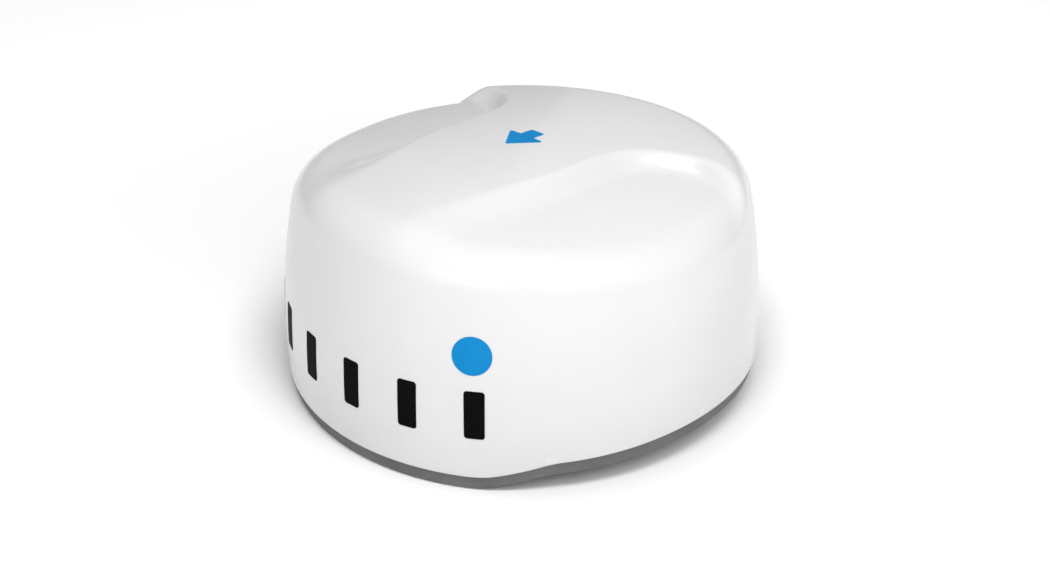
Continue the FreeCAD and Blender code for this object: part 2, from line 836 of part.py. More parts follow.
def socket_seals():
    high = bay_wall_y + socket_seal_thickness
    return [rod_y(socket_flange_radius - seal_inset, bay_wall_y, high, x, socket_level)
            .cut(rod_y(socket_thread_radius + 2 * thread_gap, bay_wall_y - past, high + past, x,
                       socket_level))
            for x in socket_places]


def breather_vent():
    rim = bay_wall_y + vent_head_length
    wide = vent_head_radius + past
    half = vent_slot_width / 2
    head = rod_y(vent_head_radius, bay_wall_y, rim, 0, vent_level)
    slots = [block(-wide, wide, rim - vent_slot_depth, rim + past, vent_level + k * vent_slot_pitch - half,
                   vent_level + k * vent_slot_pitch + half) for k in (-1, 0, 1)]
    stem = rod_y(vent_radius, bay_wall_y - tray_wall - vent_tail, bay_wall_y, 0, vent_level)
    return joined([less(head, slots), stem])


# ---- pedestal, bearings and shaft -----------------------------------------------------------
def cap_screw(p, tip, seat, radius, head_radius, head_height, key):
    """Upright screw with a round head on its seat and a hexagonal socket."""
    head = rod(head_radius, seat, seat + head_height, p.x, p.y)
    head = head.cut(hexagon(key, seat + head_height / 2, seat + head_height + past, p.x, p.y))
    return joined([head, rod(radius, tip, seat, p.x, p.y)])


def pedestal():
    bore = bearing_outer / 2 + seat_gap
    outer = joined([rod(pedestal_flange_radius, pedestal_level, flange_top),
                    rod(pedestal_radius, pedestal_level, pedestal_top)])
    holes = [rod(bore, lower_bearing, pedestal_top + past),
             rod(bore - bearing_seat_step, flange_top, lower_bearing + past)]
    holes += [rod(m5_radius + screw_gap, pedestal_level - past, flange_top + past, p.x, p.y)
              for p in pedestal_screw_places()]
    half_port = cable_port_width / 2
    holes.append(block(-pedestal_radius - past, 0, -half_port, half_port, flange_top,
                       flange_top + cable_port_height))
    holes += [rod(m3_radius + thread_gap, pedestal_top - retainer_screw_length - past,
                  pedestal_top + past, p.x, p.y)
              for p in retainer_screw_places()]
    half_rib = pedestal_rib / 2
    rib = block(pedestal_radius - past, pedestal_flange_radius - past, -half_rib, half_rib, flange_top - past,
                flange_top + pedestal_rib_height + past)
    ribs = [turned(rib, 360.0 / pedestal_screw_count * k) for k in pedestal_ribs]
    half_motor = motor_side / 2
    holes.append(block(motor_x - half_motor - pedestal_motor_gap, motor_x, -half_motor, half_motor,
                       pedestal_level - past, flange_top + pedestal_rib_height + past))
    return less(joined([outer] + ribs), holes)


def retainer_screw_places():
    circle = (bearing_outer / 2 + seat_gap + pedestal_radius) / 2
    return [at(circle, 360.0 / retainer_screw_count * (k + 0.5)) for k in range(retainer_screw_count)]


def pedestal_screws():
    return [cap_screw(p, screw_floor, flange_top, m5_radius, m5_head_radius, m5_head_height, m5_key)
            for p in pedestal_screw_places()]


def bearing_retainer():
    high = pedestal_top + retainer_thickness
    plate = tube(pedestal_radius, shaft_shoulder_radius + retainer_inner_gap, pedestal_top, high)
    places = retainer_screw_places()
    holes = [rod(m3_radius + screw_gap, pedestal_top - past, high + past, p.x, p.y) for p in places]
    sinks = [rod(m3_head_radius + screw_gap, high - retainer_sink_depth, high + past, p.x, p.y)
             for p in places]
    return less(plate, holes + sinks)


def retainer_screws():
    seat = pedestal_top + retainer_thickness - retainer_sink_depth
    return [joined([rod(m3_head_radius, seat, seat + retainer_head_height, p.x, p.y),
                    rod(m3_radius, pedestal_top - retainer_screw_length, seat, p.x, p.y)])
            for p in retainer_screw_places()]


def groove(level):
    return Part.makeTorus(bearing_pitch, ball_radius + groove_gap, Vec(0, 0, level + bearing_width / 2))


def outer_ring(level):
    outer = bearing_outer / 2
    return tube(outer, outer - bearing_ring_wall, level, level + bearing_width).cut(groove(level))


def inner_ring(level):
    inner = bearing_bore / 2 + seat_gap
    return tube(inner + bearing_ring_wall, inner, level, level + bearing_width).cut(groove(level))


def ball_places(level):
    return [at(bearing_pitch, 360.0 / ball_count * k, level + bearing_width / 2) for k in range(ball_count)]


def bearing_balls(level):
    return [Part.makeSphere(ball_radius, p) for p in ball_places(level)]


def bearing_cage(level):
    middle = level + bearing_width / 2
    band = tube(bearing_pitch + cage_thickness / 2, bearing_pitch - cage_thickness / 2,
                middle - cage_height / 2, middle + cage_height / 2)
    axis = Vec(0, 0, middle)
    return less(band, [Part.makeCylinder(ball_radius + cage_pocket_gap, bearing_pitch,
                                         axis + (p - axis) * 0.5, p - axis)
                       for p in ball_places(level)])


def bearing_spacer():
    outer = bearing_outer / 2
    return tube(outer, outer - bearing_ring_wall, lower_bearing + bearing_width, upper_bearing)


def shaft_spacer():
    inner = bearing_bore / 2 + seat_gap
    return tube(inner + bearing_ring_wall - shaft_spacer_relief, inner, lower_bearing + bearing_width,
                upper_bearing)


def gear_bolt_places():
    return [at(gear_bolt_circle, 360.0 / gear_bolt_count * (k + 0.5)) for k in range(gear_bolt_count)]


def turntable_shaft():
    low = lower_bearing - circlip_thickness - shaft_end
    body = joined([rod(bearing_bore / 2, low, pedestal_top),
                   rod(shaft_shoulder_radius, pedestal_top, shaft_flange),
                   rod(shaft_flange_radius, shaft_flange, gear_level),
                   rod(spigot_radius, gear_level, spigot_top)])
    neck = tube(bearing_bore, bearing_bore / 2 - circlip_groove, lower_bearing - circlip_thickness,
                lower_bearing)
    bolts = [rod(m4_radius + thread_gap, shaft_flange - past, gear_level + past, p.x, p.y)
             for p in gear_bolt_places()]
    return less(body, [rod(shaft_bore_radius, low - past, spigot_top + past), neck] + bolts)


def shaft_circlip():
    high = lower_bearing - running_gap
    low = lower_bearing - circlip_thickness + running_gap
    inner = bearing_bore / 2 - circlip_groove + seat_gap
    ring = tube(bearing_bore / 2 + circlip_width, inner, low, high)
    gap_half = circlip_ear_x - circlip_ear_hole - seat_gap
    gap = block(-gap_half, gap_half, 0, bearing_bore, low - past, high + past)
    ear_y = bearing_bore / 2 + circlip_ear_radius - seat_gap
    ears = []
    for x in (-circlip_ear_x, circlip_ear_x):
        ear = rod(circlip_ear_radius, low, high, x, ear_y)
        ears.append(less(ear, [rod(circlip_ear_hole, low - past, high + past, x, ear_y),
                               rod(inner, low - past, high + past)]))
    return joined([ring.cut(gap)] + ears)


def rotary_stator():
    step = flange_top + stator_base_height
    return joined([rod(stator_base_radius, flange_top, step), rod(stator_probe_radius, step, pedestal_top)])


def rotary_rotor():
    low = lower_bearing + rotor_depth
    high = spigot_top + rotor_flange_height
    body = joined([rod(shaft_bore_radius - seat_gap, low, spigot_top), rod(rotor_flange_radius,
                                                                           spigot_top, high)])
    return body.cut(rod(rotor_bore, low - past, high + past))


# ---- gears and motor -------------------------------------------------------------------------
def involute(base, radius, turn, side):
    """Point of an involute flank at a radius, on one side of a tooth whose flank starts at turn."""
    roll = math.sqrt(max(radius * radius / (base * base) - 1, 0))
    angle = turn + side * (roll - math.atan(roll))
    return Vec(radius * math.cos(angle), radius * math.sin(angle), 0)


def spur_gear(teeth, face, first_tooth):
    """Involute spur gear about Z, from z = 0, with one tooth centred at first_tooth degrees."""
    pitch = teeth * gear_module / 2
    base = pitch * math.cos(math.radians(pressure_angle))
    tip = pitch + gear_module
    root = pitch - 1.25 * gear_module
    slope = math.radians(pressure_angle)
    half_tooth = (math.pi * gear_module / 2 - tooth_backlash) / 2 / pitch + math.tan(slope) - slope
    start = max(base, root)
    edges = []
    previous = None
    opening = None
    for k in range(teeth):
        centre = math.radians(first_tooth + 360.0 / teeth * k)
        right = centre - half_tooth
        left = centre + half_tooth
        low_right = involute(base, start, right, 1)
        low_left = involute(base, start, left, -1)
        foot_right = low_right * (root / start)
        foot_left = low_left * (root / start)
        if previous is None:
            opening = foot_right
        else:
            edges.append(Part.makeLine(previous, foot_right))
        if start > root:
            edges.append(Part.makeLine(foot_right, low_right))
        middle = (start + tip) / 2
        tip_right = involute(base, tip, right, 1)
        tip_left = involute(base, tip, left, -1)
        edges.append(Part.Arc(low_right, involute(base, middle, right, 1), tip_right).toShape())
        edges.append(Part.makeLine(tip_right, tip_left))
        edges.append(Part.Arc(tip_left, involute(base, middle, left, -1), low_left).toShape())
        if start > root:
            edges.append(Part.makeLine(low_left, foot_left))
        previous = foot_left
    edges.append(Part.makeLine(previous, opening))
    return Part.Face(Part.Wire(edges)).extrude(Vec(0, 0, face))


def drive_gear():
    gear = spur_gear(gear_teeth, gear_face, 0.0)
    gear.translate(Vec(0, 0, gear_level))
    low = gear_level - past
    high = gear_level + gear_face
    web_top = high - (gear_face - gear_web_sides) / 2
    rim = gear_radius - gear_rim
    hub = shaft_flange_radius + gear_hub_gap
    cutters = [rod(spigot_radius + seat_gap, low, high + past), tube(rim, hub, web_top, high + past)]
    for k in range(gear_window_count):
        place = at((rim + hub) / 2, 360.0 / gear_window_count * (k + 0.5))
        cutters.append(rod(gear_window_radius, low, high + past, place.x, place.y))
    cutters += [rod(m4_radius + screw_gap, low, high + past, p.x, p.y) for p in gear_bolt_places()]
    cutters.append(rod(magnet_radius + seat_gap, low, gear_level + magnet_depth, 0, -magnet_circle))
    return less(gear, cutters)


def home_magnet():
    return rod(magnet_radius, gear_level - magnet_stand, gear_level + magnet_depth, 0, -magnet_circle)


def gear_bolts():
    return [cap_screw(p, shaft_flange + past / 2, bracket_level + bracket_thickness, m4_radius,
                      m4_head_radius,
                      m4_head_height, m4_key) for p in gear_bolt_places()]


def pinion_hub_middle():
    return pinion_level + pinion_face + pinion_hub_height / 2


def drive_pinion():
    pinion = spur_gear(pinion_teeth, pinion_face, 180.0 / pinion_teeth)
    pinion.translate(Vec(motor_x, 0, pinion_level))
    low = pinion_level + pinion_face
    high = low + pinion_hub_height
    hub = rod(pinion_hub_radius, low, high, motor_x, 0)
    bore = rod(motor_shaft_radius + seat_gap, pinion_level - past, high + past, motor_x, 0)
    reach = motor_x + pinion_hub_radius + past
    screw = rod_x(m3_radius + thread_gap, motor_x, reach, 0, pinion_hub_middle())
    return less(joined([pinion, hub]), [bore, screw])


def pinion_screw():
    level = pinion_hub_middle()
    start = motor_x + motor_shaft_radius + seat_gap
    end = motor_x + pinion_hub_radius - thread_gap
    body = rod_x(m3_radius, start, end, 0, level)
    return body.cut(rod_x(m3_radius / 2, end - m3_radius, end + past, 0, level))


def motor_shaft():
    low = motor_plate_level - motor_height + motor_shaft_end
    return rod(motor_shaft_radius, low, pinion_level + pinion_face + pinion_hub_height, motor_x, 0)


def motor_screw_places():
    half = motor_screw_spacing / 2
    return [Vec(motor_x + dx, dy, 0) for dx in (-half, half) for dy in (-half, half)]


def motor_body():
    half = motor_side / 2
    low = motor_plate_level - motor_height
    high = motor_plate_level
    signs = ((-1, -1), (1, -1), (1, 1), (-1, 1))
    corners = [(Vec(motor_x + dx * half, dy * half, low), motor_corner) for dx, dy in signs]
    can = rounded_face(corners).extrude(Vec(0, 0, motor_height))
    pilot = rod(motor_pilot_radius, high, high + motor_pilot_height, motor_x, 0)
    step = motor_waist
    waist = [block(motor_x + dx * half - step, motor_x + dx * half + step, dy * half - step, dy * half + step,
                   low + motor_end_cap, high - motor_end_cap) for dx, dy in signs]
    bore = rod(motor_shaft_radius + running_gap, low + motor_shaft_end - past,
               high + motor_pilot_height + past,
               motor_x, 0)
    screws = [rod(m5_radius + thread_gap, high - motor_screw_length - past, high + past, p.x, p.y)
              for p in motor_screw_places()]
    stand, width, height = motor_plug
    plug_low = low + motor_plug_level
    plug = block(motor_x + half - past, motor_x + half + stand, -width / 2, width / 2, plug_low,
                 plug_low + height)
    return less(joined([can, pilot, plug]), waist + [bore] + screws)


def motor_bracket():
    low = pedestal_level
    foot = low + motor_leg_thickness
    half = motor_plate_half_length
    plate_top = motor_plate_level + motor_plate_thickness
    outer = motor_leg_y + motor_leg_thickness
    pieces = [block(motor_x - half, motor_x + half, -outer, outer, motor_plate_level, plate_top)]
    for side in (-1, 1):
        edge = sorted((side * motor_leg_y, side * outer))
        pieces.append(block(motor_x - half, motor_x + half, edge[0], edge[1], low, plate_top))
        edge = sorted((side * motor_leg_y, side * (outer + motor_foot_width)))
        pieces.append(block(motor_x - half, motor_x + half, edge[0], edge[1], low, foot))
    holes = [rod(motor_pilot_radius + thread_gap, motor_plate_level - past, plate_top + past, motor_x, 0)]
    holes += [rod(m5_radius + screw_gap, motor_plate_level - past, plate_top + past, p.x, p.y)
              for p in motor_screw_places()]
    holes += [rod(m4_radius + screw_gap, low - past, foot + past, p.x, p.y) for p in motor_foot_places()]
    window = motor_window / 2
    holes.append(block(motor_x - window, motor_x + window, -outer - past, outer + past,
                       foot + motor_window_margin,
                       motor_plate_level - motor_window_margin))
    return less(joined(pieces), holes)


def motor_screws():
    seat = motor_plate_level + motor_plate_thickness
    return [cap_screw(p, motor_plate_level - motor_screw_length, seat, m5_radius, m5_head_radius,
                      m5_head_height,
                      m5_key) for p in motor_screw_places()]


def bracket_screws():
    return [cap_screw(p, screw_floor, pedestal_level + motor_leg_thickness, m4_radius, m4_head_radius,
                      m4_head_height, m4_key) for p in motor_foot_places()]


def home_sensor():
    """Carrier on the motor plate with its sensing head towards the gear."""
    seat = motor_plate_level + motor_plate_thickness
    length, width, height = sensor_size
    head_length, head_width, head_height = sensor_head
    x0 = motor_x - motor_plate_half_length + past
    x1 = x0 + (length + past - head_length) / 2
    top = seat + height
    return joined([block(x0, x0 + length, -width / 2, width / 2, seat, top),
                   block(x1, x1 + head_length, -head_width / 2, head_width / 2, top, top + head_height)])


# ---- antenna array -----------------------------------------------------------------------------
def clamp_places():
    y = guide_depth / 2 + horn_tail / 2
    return [Vec(side * x, y, 0) for side in (-1, 1) for x in clamp_x]


def slotted_waveguide():
    half = array_length / 2
    depth = guide_depth / 2
    body = block(-half, half, -depth, depth, guide_bottom, guide_top)
    inner = block(-half - past, half + past, guide_wall - depth, depth - guide_wall,
                  guide_bottom + guide_wall,
                  guide_top - guide_wall)
    slots = []
    count = int(array_length / slot_pitch)
    for k in range(count):
        slot = block(-slot_width / 2, slot_width / 2, -depth - past, past - depth + guide_wall / 2,
                     -guide_height / 2 - past, guide_height / 2 + past)
        slot.rotate(Vec(0, 0, 0), BACK, slot_tilt if k % 2 else -slot_tilt)
        slot.translate(Vec(slot_pitch * (k - (count - 1) / 2), 0, guide_level))
        slots.append(slot)
    port = rod(launcher_port, guide_bottom - past, guide_bottom + guide_wall + past)
    return less(body, [inner, port] + slots)


def horn_sheets():
    half = array_length / 2
    lip = horn_aperture / 2
    lower = bent_sheet([(horn_front, guide_level - lip), (-guide_depth / 2, guide_bottom),
                        (horn_back, guide_bottom)], -horn_sheet, -half, half)
    upper = bent_sheet([(horn_front, guide_level + lip), (-guide_depth / 2, guide_top),
                        (horn_back, guide_top)], horn_sheet, -half, half)
    low = guide_bottom - horn_sheet - past
    high = guide_top + horn_sheet + past
    holes = [rod(m4_radius + screw_gap, low, high, p.x, p.y) for p in clamp_places()]
    return [less(lower, holes + [rod(launcher_radius + screw_gap, low, guide_bottom + past)]),
            less(upper, holes)]


def horn_end_plates():
    lip = horn_aperture / 2 + horn_sheet + end_plate_lip
    low = guide_bottom - horn_sheet - end_plate_lip
    high = guide_top + horn_sheet + end_plate_lip
    x = array_length / 2
    corners = [(Vec(x, horn_front, guide_level - lip), plate_corner), (Vec(x, -guide_depth / 2, low),
                                                                       bend_corner),
               (Vec(x, horn_back, low), plate_corner), (Vec(x, horn_back, high), plate_corner),
               (Vec(x, -guide_depth / 2, high), bend_corner), (Vec(x, horn_front, guide_level + lip),
                                                               plate_corner)]
    plate = rounded_face(corners).extrude(Vec(horn_sheet, 0, 0))
    return [plate, mirrored_x(plate)]


def horn_window():
    half = array_length / 2 + horn_sheet
    lip = horn_aperture / 2 + horn_sheet + end_plate_lip
    y = horn_front - window_thickness
    corners = [(Vec(x, y, z), window_corner) for x, z in ((-half, guide_level - lip), (half,
                                                                                       guide_level - lip),
                                                          (half, guide_level + lip), (-half,
                                                                                      guide_level + lip))]
    return rounded_face(corners).extrude(Vec(0, window_thickness, 0))


def antenna_bracket():
    """Disc on the gear, two uprights with webs, and the shelf that carries the horn."""
    low = bracket_level
    disc_top = low + bracket_thickness
    high = guide_bottom - horn_sheet
    shelf = high - bracket_thickness
    inner = bracket_upright_x
    outer = inner + bracket_upright_thickness
    front = bracket_front_gap - guide_depth / 2
    pieces = [rod(shaft_flange_radius, low, disc_top),
              block(-bracket_length / 2, bracket_length / 2, front, horn_back, shelf, high)]
    for side in (-1, 1):
        edge = sorted((side * inner, side * outer))
        pieces.append(block(edge[0], edge[1], front, -front + bracket_back_reach, low, high))
        x = side * outer
        web_end = x + side * bracket_web_reach
        web = [Vec(x, 0, shelf), Vec(web_end, 0, shelf), Vec(x, 0, high - bracket_web_drop), Vec(x, 0, shelf)]
        pieces.append(Part.Face(Part.makePolygon(web)).extrude(Vec(0, bracket_web_thickness, 0)))
    holes = [rod(spigot_radius + seat_gap, low - past, disc_top + past),
             rod(launcher_hole, shelf - past, high + past)]
    holes += [rod(m4_radius + screw_gap, low - past, disc_top + past, p.x, p.y) for p in gear_bolt_places()]
    holes += [rod(m4_radius + screw_gap, shelf - past, high + past, p.x, p.y) for p in clamp_places()]
    holes.append(rod_x(bracket_cable_hole, -outer - past, outer + past, bracket_back_reach / 2,
                       (low + high) / 2))
    return less(joined(pieces), holes)


def feed_launcher():
    low = spigot_top + rotor_flange_height
    body = joined([rod(launcher_radius, low, guide_bottom - seat_gap),
                   rod(rotor_flange_radius, low, low + rotor_flange_height)])
    return body.cut(rod(rotor_bore, low - past, guide_bottom + past))


def clamp_bolts():
    """Bolts through the bracket and both horn sheets, each with its nut."""
    seat = guide_bottom - horn_sheet - bracket_thickness
    nut = guide_top + horn_sheet
    nut_top = nut + m4_nut_height
    bolts = []
    for p in clamp_places():
        head = rod(m4_head_radius, seat - m4_head_height, seat, p.x, p.y)
        head = head.cut(hexagon(m4_key, seat - m4_head_height - past, seat - m4_head_height / 2, p.x, p.y))
        bolts.append(joined([head, rod(m4_radius, seat, nut_top + bolt_end, p.x, p.y)]))
        hole = rod(m4_radius + thread_gap, nut - past, nut_top + past, p.x, p.y)
        bolts.append(hexagon(m4_nut_flats, nut, nut_top, p.x, p.y).cut(hole))
    return bolts


# ---- electronics ---------------------------------------------------------------------------------
def board(box):
    x0, x1, y0, y1 = box
    corners = [(Vec(x, y, board_level), plate_corner) for x, y in ((x0, y0), (x1, y0), (x1, y1), (x0, y1))]
    holes = [rod(board_hole_radius, board_level - past, board_top + past, p.x, p.y)
             for p in board_hole_places(box)]
    return less(rounded_face(corners).extrude(Vec(0, 0, board_thickness)), holes)


def standoffs():
    posts = []
    low = floor_thickness - standoff_stud_length
    for p in standoff_places():
        post = joined([hexagon(standoff_flats, floor_thickness, board_level, p.x, p.y),
                       rod(standoff_stud_radius, low, floor_thickness, p.x, p.y)])
        posts.append(post.cut(rod(m3_radius, board_level - standoff_bore_depth, board_level + past, p.x,
                                  p.y)))
    return posts


def board_screws():
    screws = []
    head_top = board_top + board_screw_head_height
    half = board_screw_slot / 2
    wide = board_screw_head_radius + past
    for p in standoff_places():
        head = rod(board_screw_head_radius, board_top, head_top, p.x, p.y)
        slot = block(p.x - half, p.x + half, p.y - wide, p.y + wide, (board_top + head_top) / 2,
                     head_top + past)
        shank = rod(board_screw_radius, board_level - board_screw_length, board_top, p.x, p.y)
        screws.append(joined([head.cut(slot), shank]))
    return screws


def centred(x, y, size):
    """Component on a board, centred on a place, with its length, width and height."""
    length, width, height = size
    return block(x - length / 2, x + length / 2, y - width / 2, y + width / 2, board_top, board_top + height)


def main_board_parts():
    """Processor under a shield can, memory chips, converters, capacitors and lead connectors."""
    x0, x1, y0, y1 = main_board_box
    parts = [centred(shield_place[0], shield_place[1], shield_can)]
    parts += [centred(shield_place[0] + chip_pitch * (k - 1.5), y0 + chip_row, memory_chip) for k in range(4)]
    parts += [rod(small_can_radius, board_top, board_top + small_can_height, x0 + small_can_column,
                  y0 + small_can_row + small_can_pitch * k) for k in range(3)]
    parts += [centred(x0 + coil_column, y0 + coil_row + coil_pitch * k, coil) for k in range(2)]
    parts += [centred(x1 - lead_connector[0] / 2 - past, y, lead_connector) for y in lead_rows]
    parts.append(centred(shield_place[0], y1 - board_link_row, board_link))
    return parts


def power_board_parts():
    """Input filter, transformer, capacitors and a finned heat sink."""
    x0, x1, y0, y1 = power_board_box
    top = board_top
    parts = [rod(large_can_radius, top, top + large_can_height, x1 - large_can_column - large_can_pitch * k,
                 y0 + large_can_row) for k in range(2)]
    parts.append(centred(transformer_place[0], y0 + transformer_place[1], transformer))
    sink_x = x0 + sink_inset
    sink_y = y0 + sink_inset
    length, width, height = heat_sink
    fins = [block(sink_x, sink_x + length, sink_y + sink_first_fin + sink_fin_pitch * k,
                  sink_y + sink_first_fin + sink_fin_pitch * k + sink_fin, top + past, top + height)
            for k in range(sink_fin_count)]
    parts.append(joined([block(sink_x, sink_x + length, sink_y, sink_y + width, top,
                               top + sink_base)] + fins))
    parts.append(Part.makeTorus(choke_radius, choke_wire, Vec(x1 - choke_place[0], y1 - choke_place[1],
                                                               top + choke_wire)))
    inlet_y = y1 - power_inlet[1] / 2 - 2 * past
    parts.append(centred(-socket_spacing / 2, inlet_y, power_inlet))
    return parts


def power_lead():
    x = -socket_spacing / 2
    start = bay_wall_y - tray_wall - socket_tail
    end = power_board_box[3] - 2 * past
    level = board_top + lead_entry + past
    return lead([(x, start, socket_level), (x, start - lead_bend, socket_level), (x, end + lead_bend, level),
                 (x, end, level)], lead_bend, lead_radius)


def network_lead():
    """From the network socket, round the motor on the tray floor, to the main board."""
    x = socket_spacing / 2
    start = bay_wall_y - tray_wall - socket_tail
    level = board_top + lead_entry
    side = motor_x + motor_side / 2 + lead_side_gap
    turn = network_lead_turn
    end = main_board_box[1] - past
    row = lead_rows[1]
    low = floor_thickness + lead_radius + lead_entry
    floor_y, turn_y = network_lead_floor
    return lead([(x, start, socket_level), (x, start - lead_straight, socket_level),
                 (x + lead_bend, floor_y, low), (2 * x, turn_y, low), (side, turn, low), (side, -turn, low),
                 (end + lead_straight, row, level), (end, row, level)], floor_bend, lead_radius)


def motor_lead():
    x = motor_x + motor_side / 2 + motor_plug[0]
    low = motor_plate_level - motor_height + motor_plug_level + motor_plug[2] / 2
    row = lead_rows[0]
    level = board_top + lead_entry
    end = main_board_box[1] - past
    return lead([(x, 0, low), (x + lead_bend, 0, low), (x + lead_bend, -motor_lead_turn, low),
                 (end + lead_straight, row, level), (end, row, level)], motor_lead_bend, motor_lead_radius)


def rf_cable():
    start = box_x[1] + rf_port_length
    level = flange_top + cable_port_height / 2
    end = -stator_base_radius - seat_gap
    return lead([(start, 0, rf_level), (start + rf_bend, 0, rf_level), (start + rf_slope, 0, level),
                 (end, 0, level)], rf_bend, rf_cable_radius)


def transceiver_box():
    x0, x1 = box_x
    w = box_half_width
    wall = box_wall
    body = block(x0, x1, -w, w, pedestal_level, box_top)
    inner = block(x0 + wall, x1 - wall, wall - w, w - wall, pedestal_level + wall, box_top + past)
    posts = [rod(box_post_radius, pedestal_level, box_top, p.x, p.y) for p in box_screw_places()]
    port = rod_x(rf_port_radius, x1 - past, x1 + rf_port_length, 0, rf_level)
    holes = [rod(m4_radius + screw_gap, pedestal_level - past, box_top + past, p.x, p.y)
             for p in box_screw_places()]
    holes += [rod_y(m3_radius + thread_gap, -w - past, box_thread - w, p.x, p.z)
              for p in magnetron_screw_places()]
    return less(joined([body.cut(inner), port] + posts), holes)


def transceiver_lid():
    x0, x1 = box_x
    w = box_half_width
    top = box_top + lid_thickness
    half = lid_rib_thickness / 2
    plate = block(x0, x1, -w, w, box_top, top)
    ribs = [block(x0 + lid_rib_inset, x1 - lid_rib_inset, lid_rib_pitch * k - half, lid_rib_pitch * k + half,
                  top - past, top + lid_rib_height) for k in range(-4, 5)]
    holes = [rod(m4_radius + screw_gap, box_top - past, top + past, p.x, p.y) for p in box_screw_places()]
    return less(joined([plate] + ribs), holes)


def transceiver_screws():
    return [cap_screw(p, screw_floor, box_top + lid_thickness, m4_radius, m4_head_radius, m4_head_height,
                      m4_key)
            for p in box_screw_places()]


def receiver_board():
    """Plate with three screening cans, on the floor of the transceiver box."""
    x0, x1 = box_x
    low = pedestal_level + box_wall
    top = low + receiver_thickness
    length, width, height = receiver_can
    plate = block(x0 + receiver_inset, x1 - receiver_inset, -receiver_half_width, receiver_half_width,
                  low, top)
    starts = [x0 + length + receiver_can_pitch * k for k in range(3)]
    cans = [block(x, x + length, -width / 2, width / 2, top, top + height) for x in starts]
    return joined([plate] + cans)


def magnetron_x():
    return (box_x[0] + box_x[1]) / 2


def magnetron_middle():
    return pedestal_level + magnetron_level


def magnetron_screw_places():
    return [Vec(magnetron_x() + dx, 0, magnetron_middle() + dz) for dx in (-magnetron_screw_x,
                                                                           magnetron_screw_x)
            for dz in (-magnetron_screw_z, magnetron_screw_z)]


def magnetron():
    """Tube with cooling fins between two magnets, on a flange that closes the box's output."""
    x = magnetron_x()
    y = magnetron_y
    middle = magnetron_middle()
    width, thickness, height = magnetron_flange
    fin_x, fin_y = magnetron_fin_half
    half = magnetron_half_height
    wide = magnetron_magnet_half_width
    reach = fin_x + magnetron_magnet_thickness / 2
    face = -box_half_width
    flange = block(x - width / 2, x + width / 2, face - thickness, face, middle - height / 2,
                   middle + height / 2)
    throat = rod_y(magnetron_throat_radius, y + magnetron_radius / 2, face, x, middle)
    body = rod(magnetron_radius, middle - half, middle + half, x, y)
    rise = magnetron_fin_thickness / 2
    levels = [middle + magnetron_fin_pitch * k for k in range(-2, 3)]
    fins = [block(x - fin_x, x + fin_x, y - fin_y, y + fin_y, z - rise, z + rise) for z in levels]
    magnets = []
    for side in (-1, 1):
        edge = sorted((x + side * reach, x + side * (reach - magnetron_magnet_thickness)))
        magnets.append(block(edge[0], edge[1], y - wide, y + wide, middle - half, middle + half))
    cap = magnetron_cap_thickness
    caps = [block(x - reach, x + reach, y - wide, y + wide, z, z + cap)
            for z in (middle - half - past, middle + half + past - cap)]
    holes = [rod_y(m3_radius + screw_gap, face - thickness - past, face + past, p.x, p.z)
             for p in magnetron_screw_places()]
    return less(joined([flange, throat, body] + fins + magnets + caps), holes)


def magnetron_screws():
    y = -box_half_width - magnetron_flange[1]
    return [joined([rod_y(m3_head_radius, y - m3_head_height, y, p.x, p.z),
                    rod_y(m3_radius, y, y + magnetron_screw_length, p.x, p.z)])
            for p in magnetron_screw_places()]


os.makedirs("parts", exist_ok=True)
skin = wall_skin()

save("radome_cover", radome_cover())
save("cover_inserts", cover_inserts())
save("front_mark", front_mark(skin))
save("side_mark", side_mark(skin))
save("heading_mark", heading_mark(skin))

save("base_tray", base_tray())
save("mount_inserts", mount_inserts())
save("cover_seal", cover_seal())
save("cover_screws", cover_screws())
save("power_socket", socket(-socket_spacing / 2, power_pins))
save("network_socket", socket(socket_spacing / 2, network_pins))
save("socket_nuts", socket_nuts())
save("socket_seals", socket_seals())
save("breather_vent", breather_vent())

save("pedestal", pedestal())
save("pedestal_screws", pedestal_screws())
save("bearing_retainer", bearing_retainer())
save("retainer_screws", retainer_screws())
save("bearing_spacer", bearing_spacer())
bearing_levels = (lower_bearing, upper_bearing)
save("bearing_outer_rings", [outer_ring(level) for level in bearing_levels])
save("bearing_inner_rings", [inner_ring(level) for level in bearing_levels])
save("bearing_balls", bearing_balls(lower_bearing) + bearing_balls(upper_bearing))
save("bearing_cages", [bearing_cage(level) for level in bearing_levels])
save("turntable_shaft", turntable_shaft())
save("shaft_spacer", shaft_spacer())
save("shaft_circlip", shaft_circlip())
save("rotary_joint_stator", rotary_stator())
save("rotary_joint_rotor", rotary_rotor())

save("drive_gear", drive_gear())
save("gear_bolts", gear_bolts())
save("home_magnet", home_magnet())
save("drive_pinion", drive_pinion())
save("pinion_screw", pinion_screw())
save("motor_shaft", motor_shaft())
save("motor_body", motor_body())
save("motor_bracket", motor_bracket())
save("motor_screws", motor_screws())
save("bracket_screws", bracket_screws())
save("home_sensor", home_sensor())

save("slotted_waveguide", slotted_waveguide())
save("horn_sheets", horn_sheets())
save("horn_end_plates", horn_end_plates())
save("horn_window", horn_window())
save("antenna_bracket", antenna_bracket())
save("feed_launcher", feed_launcher())
save("clamp_bolts", clamp_bolts())

save("main_board", board(main_board_box))
save("main_board_parts", main_board_parts())
save("power_board", board(power_board_box))
save("power_board_parts", power_board_parts())
save("standoffs", standoffs())
save("board_screws", board_screws())
save("transceiver_box", transceiver_box())
save("transceiver_lid", transceiver_lid())
save("transceiver_screws", transceiver_screws())
save("receiver_board", receiver_board())
save("magnetron", magnetron())
save("magnetron_screws", magnetron_screws())
save("leads", [power_lead(), network_lead(), motor_lead()])
save("rf_cable", rf_cable())
